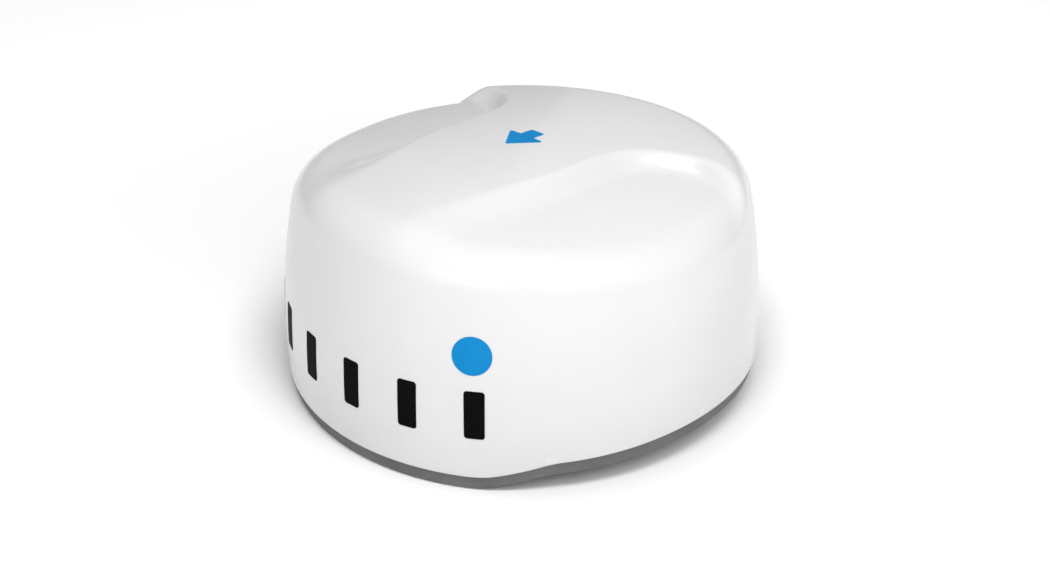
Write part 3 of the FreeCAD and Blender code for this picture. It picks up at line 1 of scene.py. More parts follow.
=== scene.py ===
import json
import math
import bmesh
import bpy
import numpy as np
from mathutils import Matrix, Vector


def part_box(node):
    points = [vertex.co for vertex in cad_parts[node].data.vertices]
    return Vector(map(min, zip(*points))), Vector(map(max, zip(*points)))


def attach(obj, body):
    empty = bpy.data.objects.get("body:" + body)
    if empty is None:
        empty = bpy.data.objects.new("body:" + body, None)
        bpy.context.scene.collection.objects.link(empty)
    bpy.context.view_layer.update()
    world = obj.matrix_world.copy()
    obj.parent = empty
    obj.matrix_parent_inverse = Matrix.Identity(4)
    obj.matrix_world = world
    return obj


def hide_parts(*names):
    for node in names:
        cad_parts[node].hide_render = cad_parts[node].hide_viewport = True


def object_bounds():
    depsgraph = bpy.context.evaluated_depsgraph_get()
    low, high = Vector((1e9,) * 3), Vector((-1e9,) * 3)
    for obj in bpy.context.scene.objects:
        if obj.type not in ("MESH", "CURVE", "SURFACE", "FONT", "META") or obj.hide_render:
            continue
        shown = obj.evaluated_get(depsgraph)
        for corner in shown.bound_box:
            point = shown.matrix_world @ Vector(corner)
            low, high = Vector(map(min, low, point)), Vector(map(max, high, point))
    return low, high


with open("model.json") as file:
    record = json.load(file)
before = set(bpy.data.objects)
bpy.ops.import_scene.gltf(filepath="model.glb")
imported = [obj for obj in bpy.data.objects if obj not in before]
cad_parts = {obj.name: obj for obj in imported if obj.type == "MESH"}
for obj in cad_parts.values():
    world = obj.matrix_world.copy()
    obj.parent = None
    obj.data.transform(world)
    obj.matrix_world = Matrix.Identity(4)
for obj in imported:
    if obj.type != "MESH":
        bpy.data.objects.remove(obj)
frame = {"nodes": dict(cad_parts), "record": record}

nodes = frame["nodes"]
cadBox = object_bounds()
print("frame loaded:", len(nodes), "nodes")


class Wire:
    # a value socket that can be used in Python expressions
    def __init__(self, finish, socket):
        self.finish = finish
        self.socket = socket

    def math(self, operation, first, second):
        made = self.finish.node("ShaderNodeMath", {"operation": operation}, {0: first, 1: second})
        return Wire(self.finish, made.outputs[0])

    def __add__(self, other):
        return self.math("ADD", self, other)

    def __radd__(self, other):
        return self.math("ADD", other, self)

    def __sub__(self, other):
        return self.math("SUBTRACT", self, other)

    def __rsub__(self, other):
        return self.math("SUBTRACT", other, self)

    def __mul__(self, other):
        return self.math("MULTIPLY", self, other)

    def __rmul__(self, other):
        return self.math("MULTIPLY", other, self)

    def __pow__(self, other):
        return self.math("POWER", self, other)

    def fitted(self, low, high, start=0.0, end=1.0):
        # a smooth run from start to end while the value goes from low to high
        made = self.finish.node("ShaderNodeMapRange", {"clamp": True, "interpolation_type": "SMOOTHSTEP"},
                                {"Value": self, "From Min": low, "From Max": high,
                                 "To Min": start, "To Max": end})
        return Wire(self.finish, made.outputs["Result"])


class Finish:
    # a material and the nodes that make it
    def __init__(self, name, **fixed):
        self.material = bpy.data.materials.new(name)
        self.material.use_nodes = True
        self.tree = self.material.node_tree
        self.shader = self.tree.nodes["Principled BSDF"]
        for key, value in fixed.items():
            self.shader.inputs[key.replace("_", " ")].default_value = value
        self.place = self.node("ShaderNodeTexCoord").outputs["Object"]

    def node(self, kind, settings=None, sockets=None):
        made = self.tree.nodes.new(kind)
        for key, value in (settings or {}).items():
            setattr(made, key, value)
        for key, value in (sockets or {}).items():
            self.feed(made.inputs[key], value)
        return made

    def feed(self, socket, value):
        if isinstance(value, Wire):
            value = value.socket
        if isinstance(value, bpy.types.NodeSocket):
            self.tree.links.new(value, socket)
        else:
            socket.default_value = value

    def axis(self, letter):
        made = self.node("ShaderNodeSeparateXYZ", None, {"Vector": self.place})
        return Wire(self, made.outputs[letter])

    def stretched(self, scale):
        made = self.node("ShaderNodeMapping", None, {"Vector": self.place, "Scale": scale})
        return made.outputs["Vector"]

    def noise(self, scale, detail=3.0, roughness=0.5, vector=None):
        made = self.node("ShaderNodeTexNoise", None, {"Vector": vector or self.place, "Scale": scale,
                                                      "Detail": detail, "Roughness": roughness})
        return Wire(self, made.outputs["Fac"])

    def cells(self, scale):
        made = self.node("ShaderNodeTexVoronoi", None, {"Vector": self.place, "Scale": scale})
        return Wire(self, made.outputs["Distance"])

    def threads(self, scale, direction):
        made = self.node("ShaderNodeTexWave", {"wave_type": "BANDS", "bands_direction": direction},
                         {"Vector": self.place, "Scale": scale, "Distortion": 0.4, "Detail": 1.0})
        return Wire(self, made.outputs["Fac"])

    def blend(self, amount, first, second):
        # sockets 6 and 7, and output 2, are the ones for colours
        made = self.node("ShaderNodeMix", {"data_type": "RGBA"},
                         {"Factor": amount, 6: self.colour(first), 7: self.colour(second)})
        return made.outputs[2]

    def colour(self, value):
        return (*value, 1.0) if isinstance(value, tuple) and len(value) == 3 else value

    def bump(self, height, strength, distance):
        made = self.node("ShaderNodeBump", None,
                         {"Height": height, "Strength": strength, "Distance": distance})
        return made.outputs["Normal"]

    def surface(self, **inputs):
        for key, value in inputs.items():
            self.feed(self.shader.inputs[key.replace("_", " ")], self.colour(value))
        return self.material


def coverWhite():
    look = {"clean": (0.68, 0.683, 0.688), "shade": (0.655, 0.658, 0.663), "dust": (0.55, 0.54, 0.52),
            "dustTop": 0.075, "dustFull": 0.016}
    finish = Finish("coverWhite", IOR=1.46, Coat_Roughness=0.09)
    height = finish.axis("Z")
    cloud = finish.noise(7.0, 4.0, 0.55)
    speckle = finish.noise(900.0, 2.0, 0.6)
    rub = finish.noise(34.0, 4.0, 0.6)
    lowDust = height.fitted(look["dustTop"], look["dustFull"], 0.0, 0.10) * cloud.fitted(0.35, 0.7)
    tone = finish.blend(cloud.fitted(0.35, 0.7), look["clean"], look["shade"])
    tone = finish.blend(lowDust + speckle.fitted(0.70, 0.82, 0.0, 0.03), tone, look["dust"])
    rough = 0.20 + 0.07 * cloud + 0.03 * rub.fitted(0.5, 0.8) + 0.25 * lowDust
    peel = finish.noise(260.0, 2.0, 0.5) + 0.35 * finish.noise(1400.0, 2.0, 0.5)
    return finish.surface(Base_Color=tone, Roughness=rough, Coat_Weight=0.35 - 0.12 * rub,
                          Normal=finish.bump(peel, 0.035, 0.0006))


def baseGrey():
    look = {"dark": (0.098, 0.099, 0.102), "light": (0.135, 0.136, 0.140), "scuffed": (0.32, 0.32, 0.32)}
    finish = Finish("baseGrey", IOR=1.5)
    cloud = finish.noise(18.0, 4.0, 0.6)
    grain = finish.cells(1500.0)
    scuff = finish.noise(140.0, 6.0, 0.75, finish.stretched((1.0, 1.0, 5.0)))
    tone = finish.blend(cloud.fitted(0.3, 0.7), look["dark"], look["light"])
    tone = finish.blend(scuff.fitted(0.66, 0.82, 0.0, 0.35), tone, look["scuffed"])
    return finish.surface(Base_Color=tone, Roughness=0.46 + 0.14 * cloud + 0.1 * scuff.fitted(0.6, 0.8),
                          Normal=finish.bump(grain + 0.4 * cloud, 0.12, 0.0004))


def printedFilm(name, ink, worn, rough):
    finish = Finish(name, IOR=1.3, Specular_IOR_Level=0.05)
    pinhole = tuple(v * 1.6 + 0.006 for v in ink)
    cloud = finish.noise(35.0, 4.0, 0.6)
    speck = finish.noise(1600.0, 2.0, 0.6)
    tone = finish.blend(cloud.fitted(0.35, 0.7), ink, worn)
    tone = finish.blend(speck.fitted(0.70, 0.80, 0.0, 0.25), tone, pinhole)
    return finish.surface(Base_Color=tone, Roughness=rough + 0.1 * cloud,
                          Normal=finish.bump(speck + finish.noise(300.0), 0.05, 0.0003))


def rubber(name, tone):
    finish = Finish(name, IOR=1.5)
    chalky = tuple(v * 1.7 + 0.012 for v in tone)
    cloud = finish.noise(90.0, 4.0, 0.6)
    bloom = finish.noise(500.0, 4.0, 0.7)
    return finish.surface(Base_Color=finish.blend(bloom.fitted(0.45, 0.75), tone, chalky),
                          Roughness=0.55 + 0.2 * cloud, Normal=finish.bump(bloom, 0.15, 0.0003))


def steel(name, light, dark, rough, stretch):
    # drawn or ground metal, with its marks along the short side of the stretch
    finish = Finish(name)
    dull = tuple(v * 0.7 for v in dark)
    marks = finish.noise(1.0, 5.0, 0.7, finish.stretched(stretch))
    cloud = finish.noise(55.0, 4.0, 0.6)
    tone = finish.blend(marks, light, dark)
    tone = finish.blend(cloud.fitted(0.55, 0.8, 0.0, 0.4), tone, dull)
    return finish.surface(Base_Color=tone, Metallic=1.0 - 0.06 * cloud,
                          Roughness=rough + 0.16 * marks + 0.08 * cloud,
                          Normal=finish.bump(marks, 0.12, 0.0002))


def castMetal():
    look = {"light": (0.50, 0.51, 0.53), "dark": (0.36, 0.365, 0.375)}
    finish = Finish("castMetal")
    grain = finish.noise(900.0, 3.0, 0.65)
    cloud = finish.noise(28.0, 5.0, 0.6)
    pits = finish.cells(420.0)
    tone = finish.blend(cloud.fitted(0.3, 0.7), look["light"], look["dark"])
    return finish.surface(Base_Color=tone, Metallic=0.9 - 0.1 * cloud, Roughness=0.48 + 0.18 * grain,
                          Normal=finish.bump(grain + 0.5 * pits, 0.28, 0.0004))


def mouldedBlack(name, tone, rough):
    finish = Finish(name, IOR=1.5)
    faded = tuple(v * 1.6 + 0.008 for v in tone)
    grain = finish.cells(2200.0)
    cloud = finish.noise(70.0, 4.0, 0.6)
    return finish.surface(Base_Color=finish.blend(cloud.fitted(0.35, 0.75), tone, faded),
                          Roughness=rough + 0.16 * cloud, Normal=finish.bump(grain, 0.14, 0.0003))


def circuitBoard():
    look = {"mask": (0.010, 0.105, 0.045), "shade": (0.006, 0.07, 0.03), "track": (0.030, 0.205, 0.085),
            "pad": (0.62, 0.55, 0.33)}
    finish = Finish("circuitBoard", IOR=1.5)
    lines = finish.node("ShaderNodeTexBrick",
                        {"offset": 0.37, "offset_frequency": 3, "squash": 0.6, "squash_frequency": 2},
                        {"Vector": finish.place, "Scale": 120.0, "Mortar Size": 0.035, "Mortar Smooth": 0.1,
                         "Brick Width": 1.6, "Row Height": 0.22})
    tracks = Wire(finish, lines.outputs["Fac"])
    vias = finish.cells(210.0)
    cloud = finish.noise(45.0, 3.0, 0.5)
    tone = finish.blend(tracks * 0.85, look["mask"], look["track"])
    tone = finish.blend(cloud.fitted(0.4, 0.7, 0.0, 0.35), tone, look["shade"])
    pads = vias.fitted(0.16, 0.11)
    tone = finish.blend(pads, tone, look["pad"])
    return finish.surface(Base_Color=tone, Metallic=pads * 0.8, Roughness=0.33 + 0.12 * cloud,
                          Normal=finish.bump(tracks + pads, 0.2, 0.0002))


def acetal():
    look = {"clean": (0.78, 0.76, 0.70), "aged": (0.70, 0.68, 0.61)}
    finish = Finish("acetal", IOR=1.48, Subsurface_Weight=0.08, Subsurface_Radius=(0.004, 0.003, 0.002))
    cloud = finish.noise(40.0, 4.0, 0.6)
    swirl = finish.noise(1.0, 4.0, 0.6, finish.stretched((240.0, 240.0, 30.0)))
    return finish.surface(Base_Color=finish.blend(cloud.fitted(0.35, 0.7), look["clean"], look["aged"]),
                          Roughness=0.36 + 0.12 * swirl, Normal=finish.bump(swirl, 0.08, 0.0003))


def windowSheet():
    look = {"clean": (0.70, 0.68, 0.60), "aged": (0.62, 0.60, 0.52), "thread": (0.50, 0.48, 0.41),
            "weave": 260.0}
    finish = Finish("windowSheet", IOR=1.5)
    cloth = finish.threads(look["weave"], "X") * finish.threads(look["weave"], "Z")
    cloud = finish.noise(22.0, 4.0, 0.6)
    tone = finish.blend(cloud.fitted(0.35, 0.7), look["clean"], look["aged"])
    tone = finish.blend(cloth * 0.18, tone, look["thread"])
    return finish.surface(Base_Color=tone, Roughness=0.42 + 0.14 * cloth,
                          Normal=finish.bump(cloth, 0.15, 0.0002))


finishes = {
    "cover_white": coverWhite(),
    "base_grey": baseGrey(),
    "mark_black": printedFilm("markBlack", (0.0022, 0.0022, 0.0024), (0.0036, 0.0036, 0.0040), 0.46),
    "mark_blue": printedFilm("markBlue", (0.010, 0.225, 0.530), (0.007, 0.205, 0.490), 0.46),
    "seal_rubber": rubber("sealRubber", (0.018, 0.018, 0.019)),
    "lead_jacket": rubber("leadJacket", (0.022, 0.022, 0.024)),
    "stainless": steel("stainless", (0.66, 0.66, 0.64), (0.50, 0.50, 0.49), 0.22, (900.0, 900.0, 140.0)),
    "bearing_steel": steel("bearingSteel", (0.68, 0.68, 0.69), (0.54, 0.54, 0.55), 0.12,
                           (200.0, 200.0, 1800.0)),
    "machined_aluminium": steel("machinedAluminium", (0.78, 0.79, 0.80), (0.62, 0.63, 0.64), 0.26,
                                (60.0, 1400.0, 1400.0)),
    "brass": steel("brass", (0.76, 0.58, 0.27), (0.60, 0.43, 0.18), 0.22, (160.0, 160.0, 1500.0)),
    "cage_brass": steel("cageBrass", (0.80, 0.62, 0.30), (0.64, 0.47, 0.20), 0.28, (160.0, 160.0, 1500.0)),
    "copper_cable": steel("copperCable", (0.80, 0.47, 0.30), (0.62, 0.33, 0.19), 0.30,
                          (1200.0, 300.0, 1200.0)),
    "magnet": steel("magnet", (0.72, 0.72, 0.71), (0.60, 0.60, 0.59), 0.10, (500.0, 500.0, 500.0)),
    "cast_aluminium": castMetal(),
    "black_plastic": mouldedBlack("blackPlastic", (0.020, 0.020, 0.021), 0.40),
    "motor_black": mouldedBlack("motorBlack", (0.016, 0.016, 0.018), 0.34),
    "chip_black": mouldedBlack("chipBlack", (0.024, 0.024, 0.026), 0.42),
    "board_green": circuitBoard(),
    "gear_plastic": acetal(),
    "window_plastic": windowSheet(),
}
slotOf = {row["node"]: row["material_slot"] for row in frame["record"]["subparts"]}
for name, piece in nodes.items():
    piece.data.materials.clear()
    piece.data.materials.append(finishes[slotOf[name]])
print("finishes made:", len(finishes))


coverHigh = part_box("radome_cover")[1]
coverShape = {
    "radius": coverHigh.y,           # the marked front and the back are the full radius from the axis
    "height": coverHigh.z,
    "wall": 0.0035,
    "wallArc": 0.790,                # barrel curve of the side wall
    "wallArcLevel": 0.020,
    "crownArc": 1.900,
    "shoulderArc": 0.046,
    "scoopDrop": 0.016,
    "scoopArc": 1.540,
    "scoopCorner": (0.1010, 0.151),  # where the ridge side and the rear edge of a scoop would meet
    "scoopCornerArc": 0.075,
    "sideLean": math.radians(2.3),
    "rearFall": math.radians(30.0),
    "stepRear": 0.026,               # width of the slope from ridge to scoop at the back
    "stepFront": 0.085,              # and where it runs out over the front shoulder
    "stepFade": (-0.03, -0.20),      # y from which it widens, and where it is widest
    "crisp": 0.70,                   # below 1 tightens the bend at the ridge and eases the one at the floor
    "frontLoss": 0.55,               # share of the scoop's depth that is lost at the front
    "rimFade": (0.185, 0.245),       # radius over which the step widens towards the shoulder
    "rimWiden": 0.040,
    "edge": ((0.200, 0.0159, 0.050), (0.155, 0.0330, 0.050), (0.0, 0.0405, 1.500)),    # y, z, bend
    "lip": 0.0012,                   # rounding of the lower edge
    "lipRows": 5,
    "lipStart": 0.3,
    "foot": 0.0008,                  # how much narrower than the wall the flat of the lower edge is
    "flange": {"aboveInserts": 0.006, "bottom": 0.0455, "wallSkin": 0.0012, "ringSkin": 0.0010},
    "around": 540,
    "crownRows": 120,
    "shoulderRows": 40,
    "wallRows": 36,
}


def domeArcs(height, crown):
    # centres of the wall, shoulder and crown arcs, and the directions to the two joints between them
    c = coverShape
    wallCentre = np.array([c["radius"] - c["wallArc"], c["wallArcLevel"]])
    crownCentre = np.array([0.0, height - crown])
    toWall = c["wallArc"] - c["shoulderArc"]
    toCrown = crown - c["shoulderArc"]
    line = crownCentre - wallCentre
    gap = np.linalg.norm(line)
    line /= gap
    along = (gap ** 2 + toWall ** 2 - toCrown ** 2) / (2 * gap)
    across = math.sqrt(toWall ** 2 - along ** 2)
    side = np.array([-line[1], line[0]])
    shoulder = max((wallCentre + line * along + side * across, wallCentre + line * along - side * across),
                   key=lambda p: p[1])
    wallTurn = math.atan2(*(shoulder - wallCentre)[::-1])
    crownTurn = math.atan2(*(shoulder - crownCentre)[::-1])
    return wallCentre, crownCentre, shoulder, wallTurn, crownTurn


def domeRows(height, crown, inset):
    # radius and height of each row, from the top of the crown down to the joint with the wall
    c = coverShape
    wallCentre, crownCentre, shoulder, wallTurn, crownTurn = domeArcs(height, crown)
    turn = np.linspace(math.pi / 2, crownTurn, c["crownRows"], endpoint=False)
    crownPart = crownCentre + (crown - inset) * np.stack([np.cos(turn), np.sin(turn)], 1)
    turn = np.linspace(crownTurn, wallTurn, c["shoulderRows"], endpoint=False)
    shoulderPart = shoulder + (c["shoulderArc"] - inset) * np.stack([np.cos(turn), np.sin(turn)], 1)
    wallStart = wallCentre + (c["wallArc"] - inset) * np.array([math.cos(wallTurn), math.sin(wallTurn)])
    return np.concatenate([crownPart, shoulderPart, wallStart[None]])


def wallRadius(z, inset):
    c = coverShape
    reach = c["wallArc"] - inset
    return c["radius"] - c["wallArc"] + np.sqrt(reach ** 2 - (z - c["wallArcLevel"]) ** 2)


def edgeHeight(y):
    # height of the cover's wavy lower edge: straight runs with rounded corners
    edge = coverShape["edge"]
    y = np.abs(np.asarray(y, float))
    corners = [(2 * coverShape["radius"], edge[0][1], 0.0), *edge, (-edge[1][0], edge[1][1], 0.0)]
    ys = np.array([p[0] for p in corners])
    zs = np.array([p[1] for p in corners])
    z = np.interp(y, ys[::-1], zs[::-1])
    for before, here, after in zip(corners, corners[1:], corners[2:]):
        slopeIn = math.atan2(here[1] - before[1], before[0] - here[0])
        slopeOut = math.atan2(after[1] - here[1], here[0] - after[0])
        turn = slopeOut - slopeIn
        reach = here[2] * math.tan(abs(turn) / 2)
        startY = here[0] + reach * math.cos(slopeIn)
        startZ = here[1] - reach * math.sin(slopeIn)
        endY = here[0] - reach * math.cos(slopeOut)
        side = 1.0 if turn > 0 else -1.0
        centreY = startY + side * here[2] * math.sin(slopeIn)
        centreZ = startZ + side * here[2] * math.cos(slopeIn)
        inside = (y < startY) & (y > endY)
        arc = centreZ - side * np.sqrt(np.maximum(here[2] ** 2 - (y - centreY) ** 2, 0.0))
        z = np.where(inside, arc, z)
    return z


def scoopAmount(x, y, grow):
    # 0 on the ridge and the back of the crown, 1 on a scoop's floor
    c = coverShape
    x = np.abs(x)
    sideWay = np.array([math.sin(c["sideLean"]), math.cos(c["sideLean"])])
    rearWay = np.array([math.cos(c["rearFall"]), -math.sin(c["rearFall"])])
    sideOut = np.array([-sideWay[1], sideWay[0]])
    rearOut = np.array([-rearWay[1], rearWay[0]])
    corner = np.array(c["scoopCorner"])
    arc = c["scoopCornerArc"]
    centre = corner - (sideOut + rearOut) * (arc / (1 + sideOut @ rearOut))
    toSide = -((x - corner[0]) * sideOut[0] + (y - corner[1]) * sideOut[1])
    toRear = -((x - corner[0]) * rearOut[0] + (y - corner[1]) * rearOut[1])
    depth = np.minimum(toSide, toRear)
    fromCentre = np.stack([x - centre[0], y - centre[1]])
    pastSide = fromCentre[0] * sideWay[0] + fromCentre[1] * sideWay[1]
    pastRear = -(fromCentre[0] * rearWay[0] + fromCentre[1] * rearWay[1])
    inCorner = (pastSide > 0) & (pastRear > 0)
    depth = np.where(inCorner, arc - np.hypot(fromCentre[0], fromCentre[1]), depth) + grow
    front = np.clip((c["stepFade"][0] - y) / (c["stepFade"][0] - c["stepFade"][1]), 0, 1)
    front = front * front * (3 - 2 * front)
    rim = np.clip((np.hypot(x, y) - c["rimFade"][0]) / (c["rimFade"][1] - c["rimFade"][0]), 0, 1)
    width = c["stepRear"] + (c["stepFront"] - c["stepRear"]) * front
    width = width + c["rimWiden"] * (1 - front) * rim * rim
    t = np.clip(depth / width + 0.5, 0, 1)
    t = t / (t + (1 - t) * c["crisp"])
    return t * t * t * (t * (6 * t - 15) + 10) * (1 - c["frontLoss"] * front)


def shellRows(inset, grow):
    # rows of points from the crown's centre down to the lower edge, each row right round the dome
    c = coverShape
    azimuth = np.linspace(0, 2 * math.pi, c["around"], endpoint=False)
    sine, cosine = np.sin(azimuth), -np.cos(azimuth)
    high = domeRows(c["height"], c["crownArc"], inset)
    low = domeRows(c["height"] - c["scoopDrop"], c["scoopArc"], inset)
    rows = []
    for top, floor in zip(high[1:], low[1:]):
        middle = (top[0] + floor[0]) / 2
        amount = scoopAmount(middle * sine, middle * cosine, grow)
        r = top[0] + (floor[0] - top[0]) * amount
        z = top[1] + (floor[1] - top[1]) * amount
        rows.append(np.stack([r * sine, r * cosine, z], 1))
    edge = edgeHeight(cosine * c["radius"])
    start = rows[-1][:, 2]
    for k in range(1, c["wallRows"] + 1):
        z = start + (edge + c["lip"] - start) * k / c["wallRows"]
        r = wallRadius(z, inset)
        rows.append(np.stack([r * sine, r * cosine, z], 1))
    return rows


def meshPiece(name, points, faces, finish):
    mesh = bpy.data.meshes.new(name)
    mesh.from_pydata([tuple(p) for p in points], [], faces)
    mesh.update()
    piece = bpy.data.objects.new(name, mesh)
    bpy.context.scene.collection.objects.link(piece)
    mesh.materials.append(finish)
    mesh.polygons.foreach_set("use_smooth", [True] * len(mesh.polygons))
    return piece


def ringFaces(start, count, rows):
    # quads between rows of points that each go right round, facing outwards
    faces = []
    for row in range(rows - 1):
        base = start + row * count
        for k in range(count):
            after = (k + 1) % count
            faces.append((base + count + k, base + count + after, base + after, base + k))
    return faces


def coverShell():
    c = coverShape
    count = c["around"]
    outer = shellRows(0.0, 0.0)
    inner = shellRows(c["wall"], c["wall"])
    edge = edgeHeight(-np.cos(np.linspace(0, 2 * math.pi, count, endpoint=False)) * c["radius"])
    lip = []
    last = outer[-1]
    reach = np.hypot(last[:, 0], last[:, 1])
    away = last[:, :2] / reach[:, None]
    for turn in np.linspace(c["lipStart"], math.pi / 2, c["lipRows"]):     # rounded outer corner
        r = reach - c["lip"] * (1 - math.cos(turn))
        z = edge + c["lip"] * (1 - math.sin(turn))
        lip.append(np.column_stack([away * r[:, None], z]))
    r = reach - c["wall"] + c["foot"]
    lip.append(np.column_stack([away * r[:, None], edge]))
    top = np.array([[0, 0, c["height"]]])
    innerTop = np.array([[0, 0, c["height"] - c["wall"]]])
    rows = outer + lip + inner[::-1]
    points = np.concatenate([top, *rows, innerTop])
    faces = [(1 + k, 1 + (k + 1) % count, 0) for k in range(count)]
    faces += ringFaces(1, count, len(rows))
    base = 1 + (len(rows) - 1) * count
    end = len(points) - 1
    faces += [(base + (k + 1) % count, base + k, end) for k in range(count)]
    piece = meshPiece("cover_shell", points, faces, finishes["cover_white"])
    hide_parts("radome_cover")
    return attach(piece, "cover")


def coverFlange():
    # the joint ring and the screw bosses inside the cover, taken from the frame's own faces
    flange = coverShape["flange"]
    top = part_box("cover_inserts")[1].z + flange["aboveInserts"]
    innerRadius = coverShape["radius"] - coverShape["wall"] - 0.0002
    outermost = innerRadius + flange["wallSkin"]
    innermost = innerRadius - flange["ringSkin"]
    source = bmesh.new()
    source.from_mesh(nodes["radome_cover"].data)
    spare = []
    for face in source.faces:
        heights = [v.co.z for v in face.verts]
        reaches = [v.co.xy.length for v in face.verts]
        beyond = max(heights) > top or min(heights) < flange["bottom"] or max(reaches) > outermost
        if beyond or min(reaches) > innermost:
            spare.append(face)
    bmesh.ops.delete(source, geom=spare, context="FACES")
    mesh = bpy.data.meshes.new("cover_flange")
    source.to_mesh(mesh)
    source.free()
    mesh.materials.clear()
    mesh.materials.append(finishes["cover_white"])
    piece = bpy.data.objects.new("cover_flange", mesh)
    bpy.context.scene.collection.objects.link(piece)
    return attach(piece, "cover")


shell = coverShell()
coverFlange()
print("cover made:", len(shell.data.polygons), "faces")


def smallBlocks(name, places, size, bevel, slot, body="root"):
    # a set of equal rounded blocks; each place is its base centre and a quarter turn or none
    made = bmesh.new()
    for x, y, z, turned in places:
        length, width, height = (size[1], size[0], size[2]) if turned else size
        block = bmesh.ops.create_cube(made, size=1.0)["verts"]
        bmesh.ops.scale(made, vec=(length, width, height), verts=block)
        bmesh.ops.translate(made, vec=(x, y, z + height / 2), verts=block)
    bmesh.ops.bevel(made, geom=list(made.edges), offset=bevel, segments=2, affect="EDGES")
    mesh = bpy.data.meshes.new(name)
    made.to_mesh(mesh)
    made.free()
    mesh.materials.append(finishes[slot])
    piece = bpy.data.objects.new(name, mesh)
    bpy.context.scene.collection.objects.link(piece)
    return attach(piece, body)


def boardSpots(node, columns, rows, turned=False):
    # places on a board, measured from its low corner
    low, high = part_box(node)
    return [(low.x + x, low.y + y, high.z, turned) for x in columns for y in rows]


boardKit = {
    "ceramicSize": (0.0020, 0.0012, 0.0009),
    "chipSize": (0.0060, 0.0050, 0.0011),
    "wideChipSize": (0.0110, 0.0075, 0.0016),
    "pinSize": (0.0012, 0.0004, 0.0006),
    "headerSize": (0.0050, 0.0160, 0.0055),
    "bevel": 0.00012,
    "pinBevel": 0.00008,
    "headerBevel": 0.0003,
    "pinRow": (7, 0.0015, 0.0044),   # pins on a side, their pitch, and the row's distance from the middle
    "rightColumns": [0.110 + 0.0042 * k for k in range(6)],
    "rightRows": [0.012, 0.018, 0.024],
    "rightTurnedRows": [0.074, 0.080],
    "leftColumns": [0.034, 0.038, 0.042],
    "leftRows": [0.010 + 0.005 * k for k in range(8)],
    "powerColumns": [0.050 + 0.004 * k for k in range(5)],
    "powerRows": [0.006, 0.0485],
    "chipSpots": {"main_board": (([0.112, 0.124, 0.136], [0.034]), ([0.036], [0.060, 0.072, 0.084])),
                  "power_board": (([0.072], [0.046]),)},
    "wideChipSpots": ([0.116, 0.134], [0.046]),
    "headerSpot": ([0.098], [0.088]),
}


def boardDetails():
    kit = boardKit
    ceramics = boardSpots("main_board", kit["rightColumns"], kit["rightRows"])
    ceramics += boardSpots("main_board", kit["rightColumns"], kit["rightTurnedRows"], True)
    ceramics += boardSpots("main_board", kit["leftColumns"], kit["leftRows"], True)
    ceramics += boardSpots("power_board", kit["powerColumns"], kit["powerRows"])
    smallBlocks("board_ceramics", ceramics, kit["ceramicSize"], kit["bevel"], "window_plastic")
    chips = [spot for node, groups in kit["chipSpots"].items() for group in groups
             for spot in boardSpots(node, *group)]
    smallBlocks("board_chips", chips, kit["chipSize"], kit["bevel"], "chip_black")
    wide = boardSpots("main_board", *kit["wideChipSpots"])
    smallBlocks("board_converters", wide, kit["wideChipSize"], kit["bevel"], "chip_black")
    pinCount, pitch, aside = kit["pinRow"]
    pins = [(x + pitch * (k - (pinCount - 1) / 2), y + side * aside, z, True)
            for x, y, z, _ in wide for k in range(pinCount) for side in (-1, 1)]
    smallBlocks("converter_pins", pins, kit["pinSize"], kit["pinBevel"], "stainless")
    smallBlocks("board_headers", boardSpots("main_board", *kit["headerSpot"]), kit["headerSize"],
                kit["headerBevel"], "black_plastic")


boardDetails()
print("board details made")


studio = {
    "floorSize": 9.0,
    "floorDrop": 0.0003,             # floor below the part's feet
    # the floor's glow: light given off by a sheet that is no lamp
    "floorGlow": 0.50,
    "glowInPaintedShadow": 0.02,               # glow right under the part, kept low as a painted shadow
    "paintedShadowRim": (0.42, 0.260, 0.36),    # painted contact shadow's edge: share of the glow that comes up near the rim, and between which radii
    "paintedShadowOuterRadii": (0.30, 1.3),          # radii between which the rest of the glow comes up, a wide painted shading round the part
    "worldTone": (1.0, 1.0, 1.0),
    "worldStrength": 0.43,
    "cameraAzimuth": math.radians(46.2),
    "cameraDistance": 1.020,
    "cameraHeight": 0.6407,
    "cameraTilt": math.radians(28.895),
    "cameraPan": math.radians(0.179),
    "lens": 36.82,
    "sensor": 36.0,
    "aimHeight": 0.12,               # point on the axis that the lamps face
    "lamps": {                       # azimuth from the front, distance and height, then size and power
        "key": ((76.0, 1.30, 1.35), (1.0, 0.8), 7.5),
        "fill": ((22.0, 1.7, 1.1), (0.9, 0.8), 2.7),
        "overhead": ((50.0, 0.64, 1.18), (0.66, 0.30), 8.6),
        "rear": ((196.0, 1.6, 1.0), (1.8, 1.2), 2.2),
    },
}


def ringPlace(azimuth, reach, height):
    turn = math.radians(azimuth)
    return (reach * math.sin(turn), -reach * math.cos(turn), height)


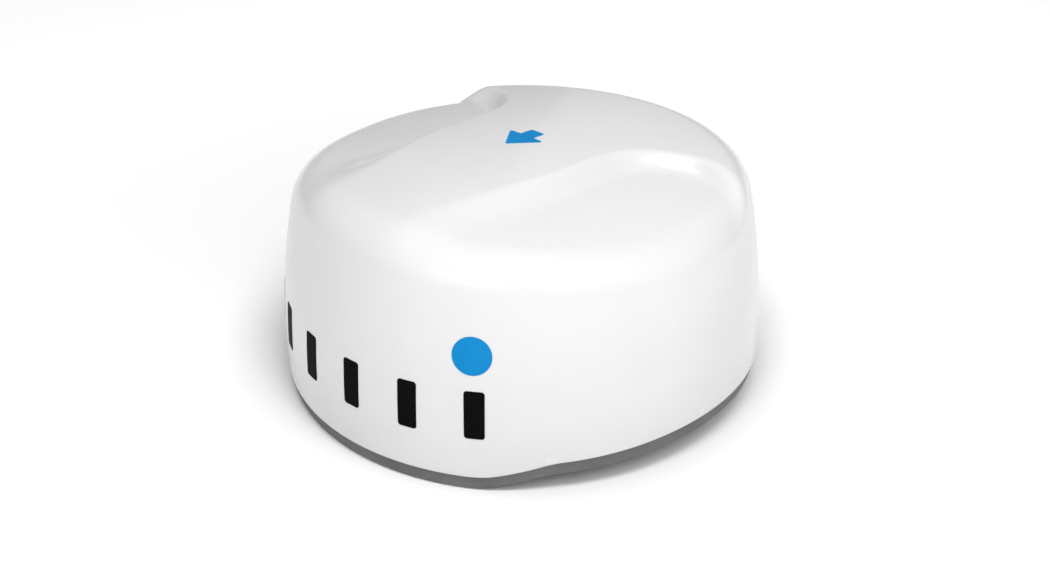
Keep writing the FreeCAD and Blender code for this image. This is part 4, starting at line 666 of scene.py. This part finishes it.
def areaLight(name, place, size, power):
    data = bpy.data.lights.new(name, "AREA")
    data.shape = "RECTANGLE"
    data.size, data.size_y = size
    data.energy = power
    light = bpy.data.objects.new(name, data)
    light.location = ringPlace(*place)
    aim = Vector((0, 0, studio["aimHeight"])) - light.location
    light.rotation_euler = aim.to_track_quat("-Z", "Y").to_euler()
    bpy.context.scene.collection.objects.link(light)


# a floor sheet that glows though it is no lamp, with its glow held low under and round the part as a
# painted contact shadow
def floorSheet():
    finish = Finish("floorPaperPaintedShadow", IOR=1.3, Specular_IOR_Level=0.1, Emission_Strength=studio["floorGlow"])
    cloud = finish.noise(3.0, 3.0, 0.5)
    grain = finish.noise(700.0, 2.0, 0.5)
    under = studio["glowInPaintedShadow"]
    share, *close = studio["paintedShadowRim"]
    reach = (finish.axis("X") ** 2 + finish.axis("Y") ** 2) ** 0.5
    # painted shadow mask: 0 under the part, rising to 1 away from it
    away = share * reach.fitted(*close) + (1.0 - share) * reach.fitted(*studio["paintedShadowOuterRadii"])
    finish.surface(Base_Color=finish.blend(cloud, (0.90, 0.90, 0.90), (0.92, 0.92, 0.92)),
                   Emission_Color=finish.blend(away, (under, under, under), (1.0, 1.0, 1.0)),
                   Roughness=0.9 + 0.05 * grain, Normal=finish.bump(grain, 0.02, 0.0002))
    half = studio["floorSize"] / 2
    corners = [(-half, -half, 0), (half, -half, 0), (half, half, 0), (-half, half, 0)]
    sheet = meshPiece("floor", corners, [(0, 1, 2, 3)], finish.material)
    sheet.location.z = cadBox[0][2] - studio["floorDrop"]


def worldLight():
    world = bpy.data.worlds.new("studio")
    world.use_nodes = True
    back = world.node_tree.nodes["Background"]
    back.inputs["Color"].default_value = (*studio["worldTone"], 1.0)
    back.inputs["Strength"].default_value = studio["worldStrength"]
    bpy.context.scene.world = world


def camera():
    data = bpy.data.cameras.new("camera")
    data.lens = studio["lens"]
    data.sensor_width = studio["sensor"]
    eye = bpy.data.objects.new("camera", data)
    azimuth = studio["cameraAzimuth"]
    eye.location = ringPlace(math.degrees(azimuth), studio["cameraDistance"], studio["cameraHeight"])
    eye.rotation_euler = (math.pi / 2 - studio["cameraTilt"], 0.0, azimuth - studio["cameraPan"])
    bpy.context.scene.collection.objects.link(eye)
    bpy.context.scene.camera = eye


floorSheet()
worldLight()
camera()
for lampName, (lampPlace, lampSize, lampPower) in studio["lamps"].items():
    areaLight(lampName, lampPlace, lampSize, lampPower)
bpy.context.scene.view_settings.view_transform = "Standard"
print("studio ready")
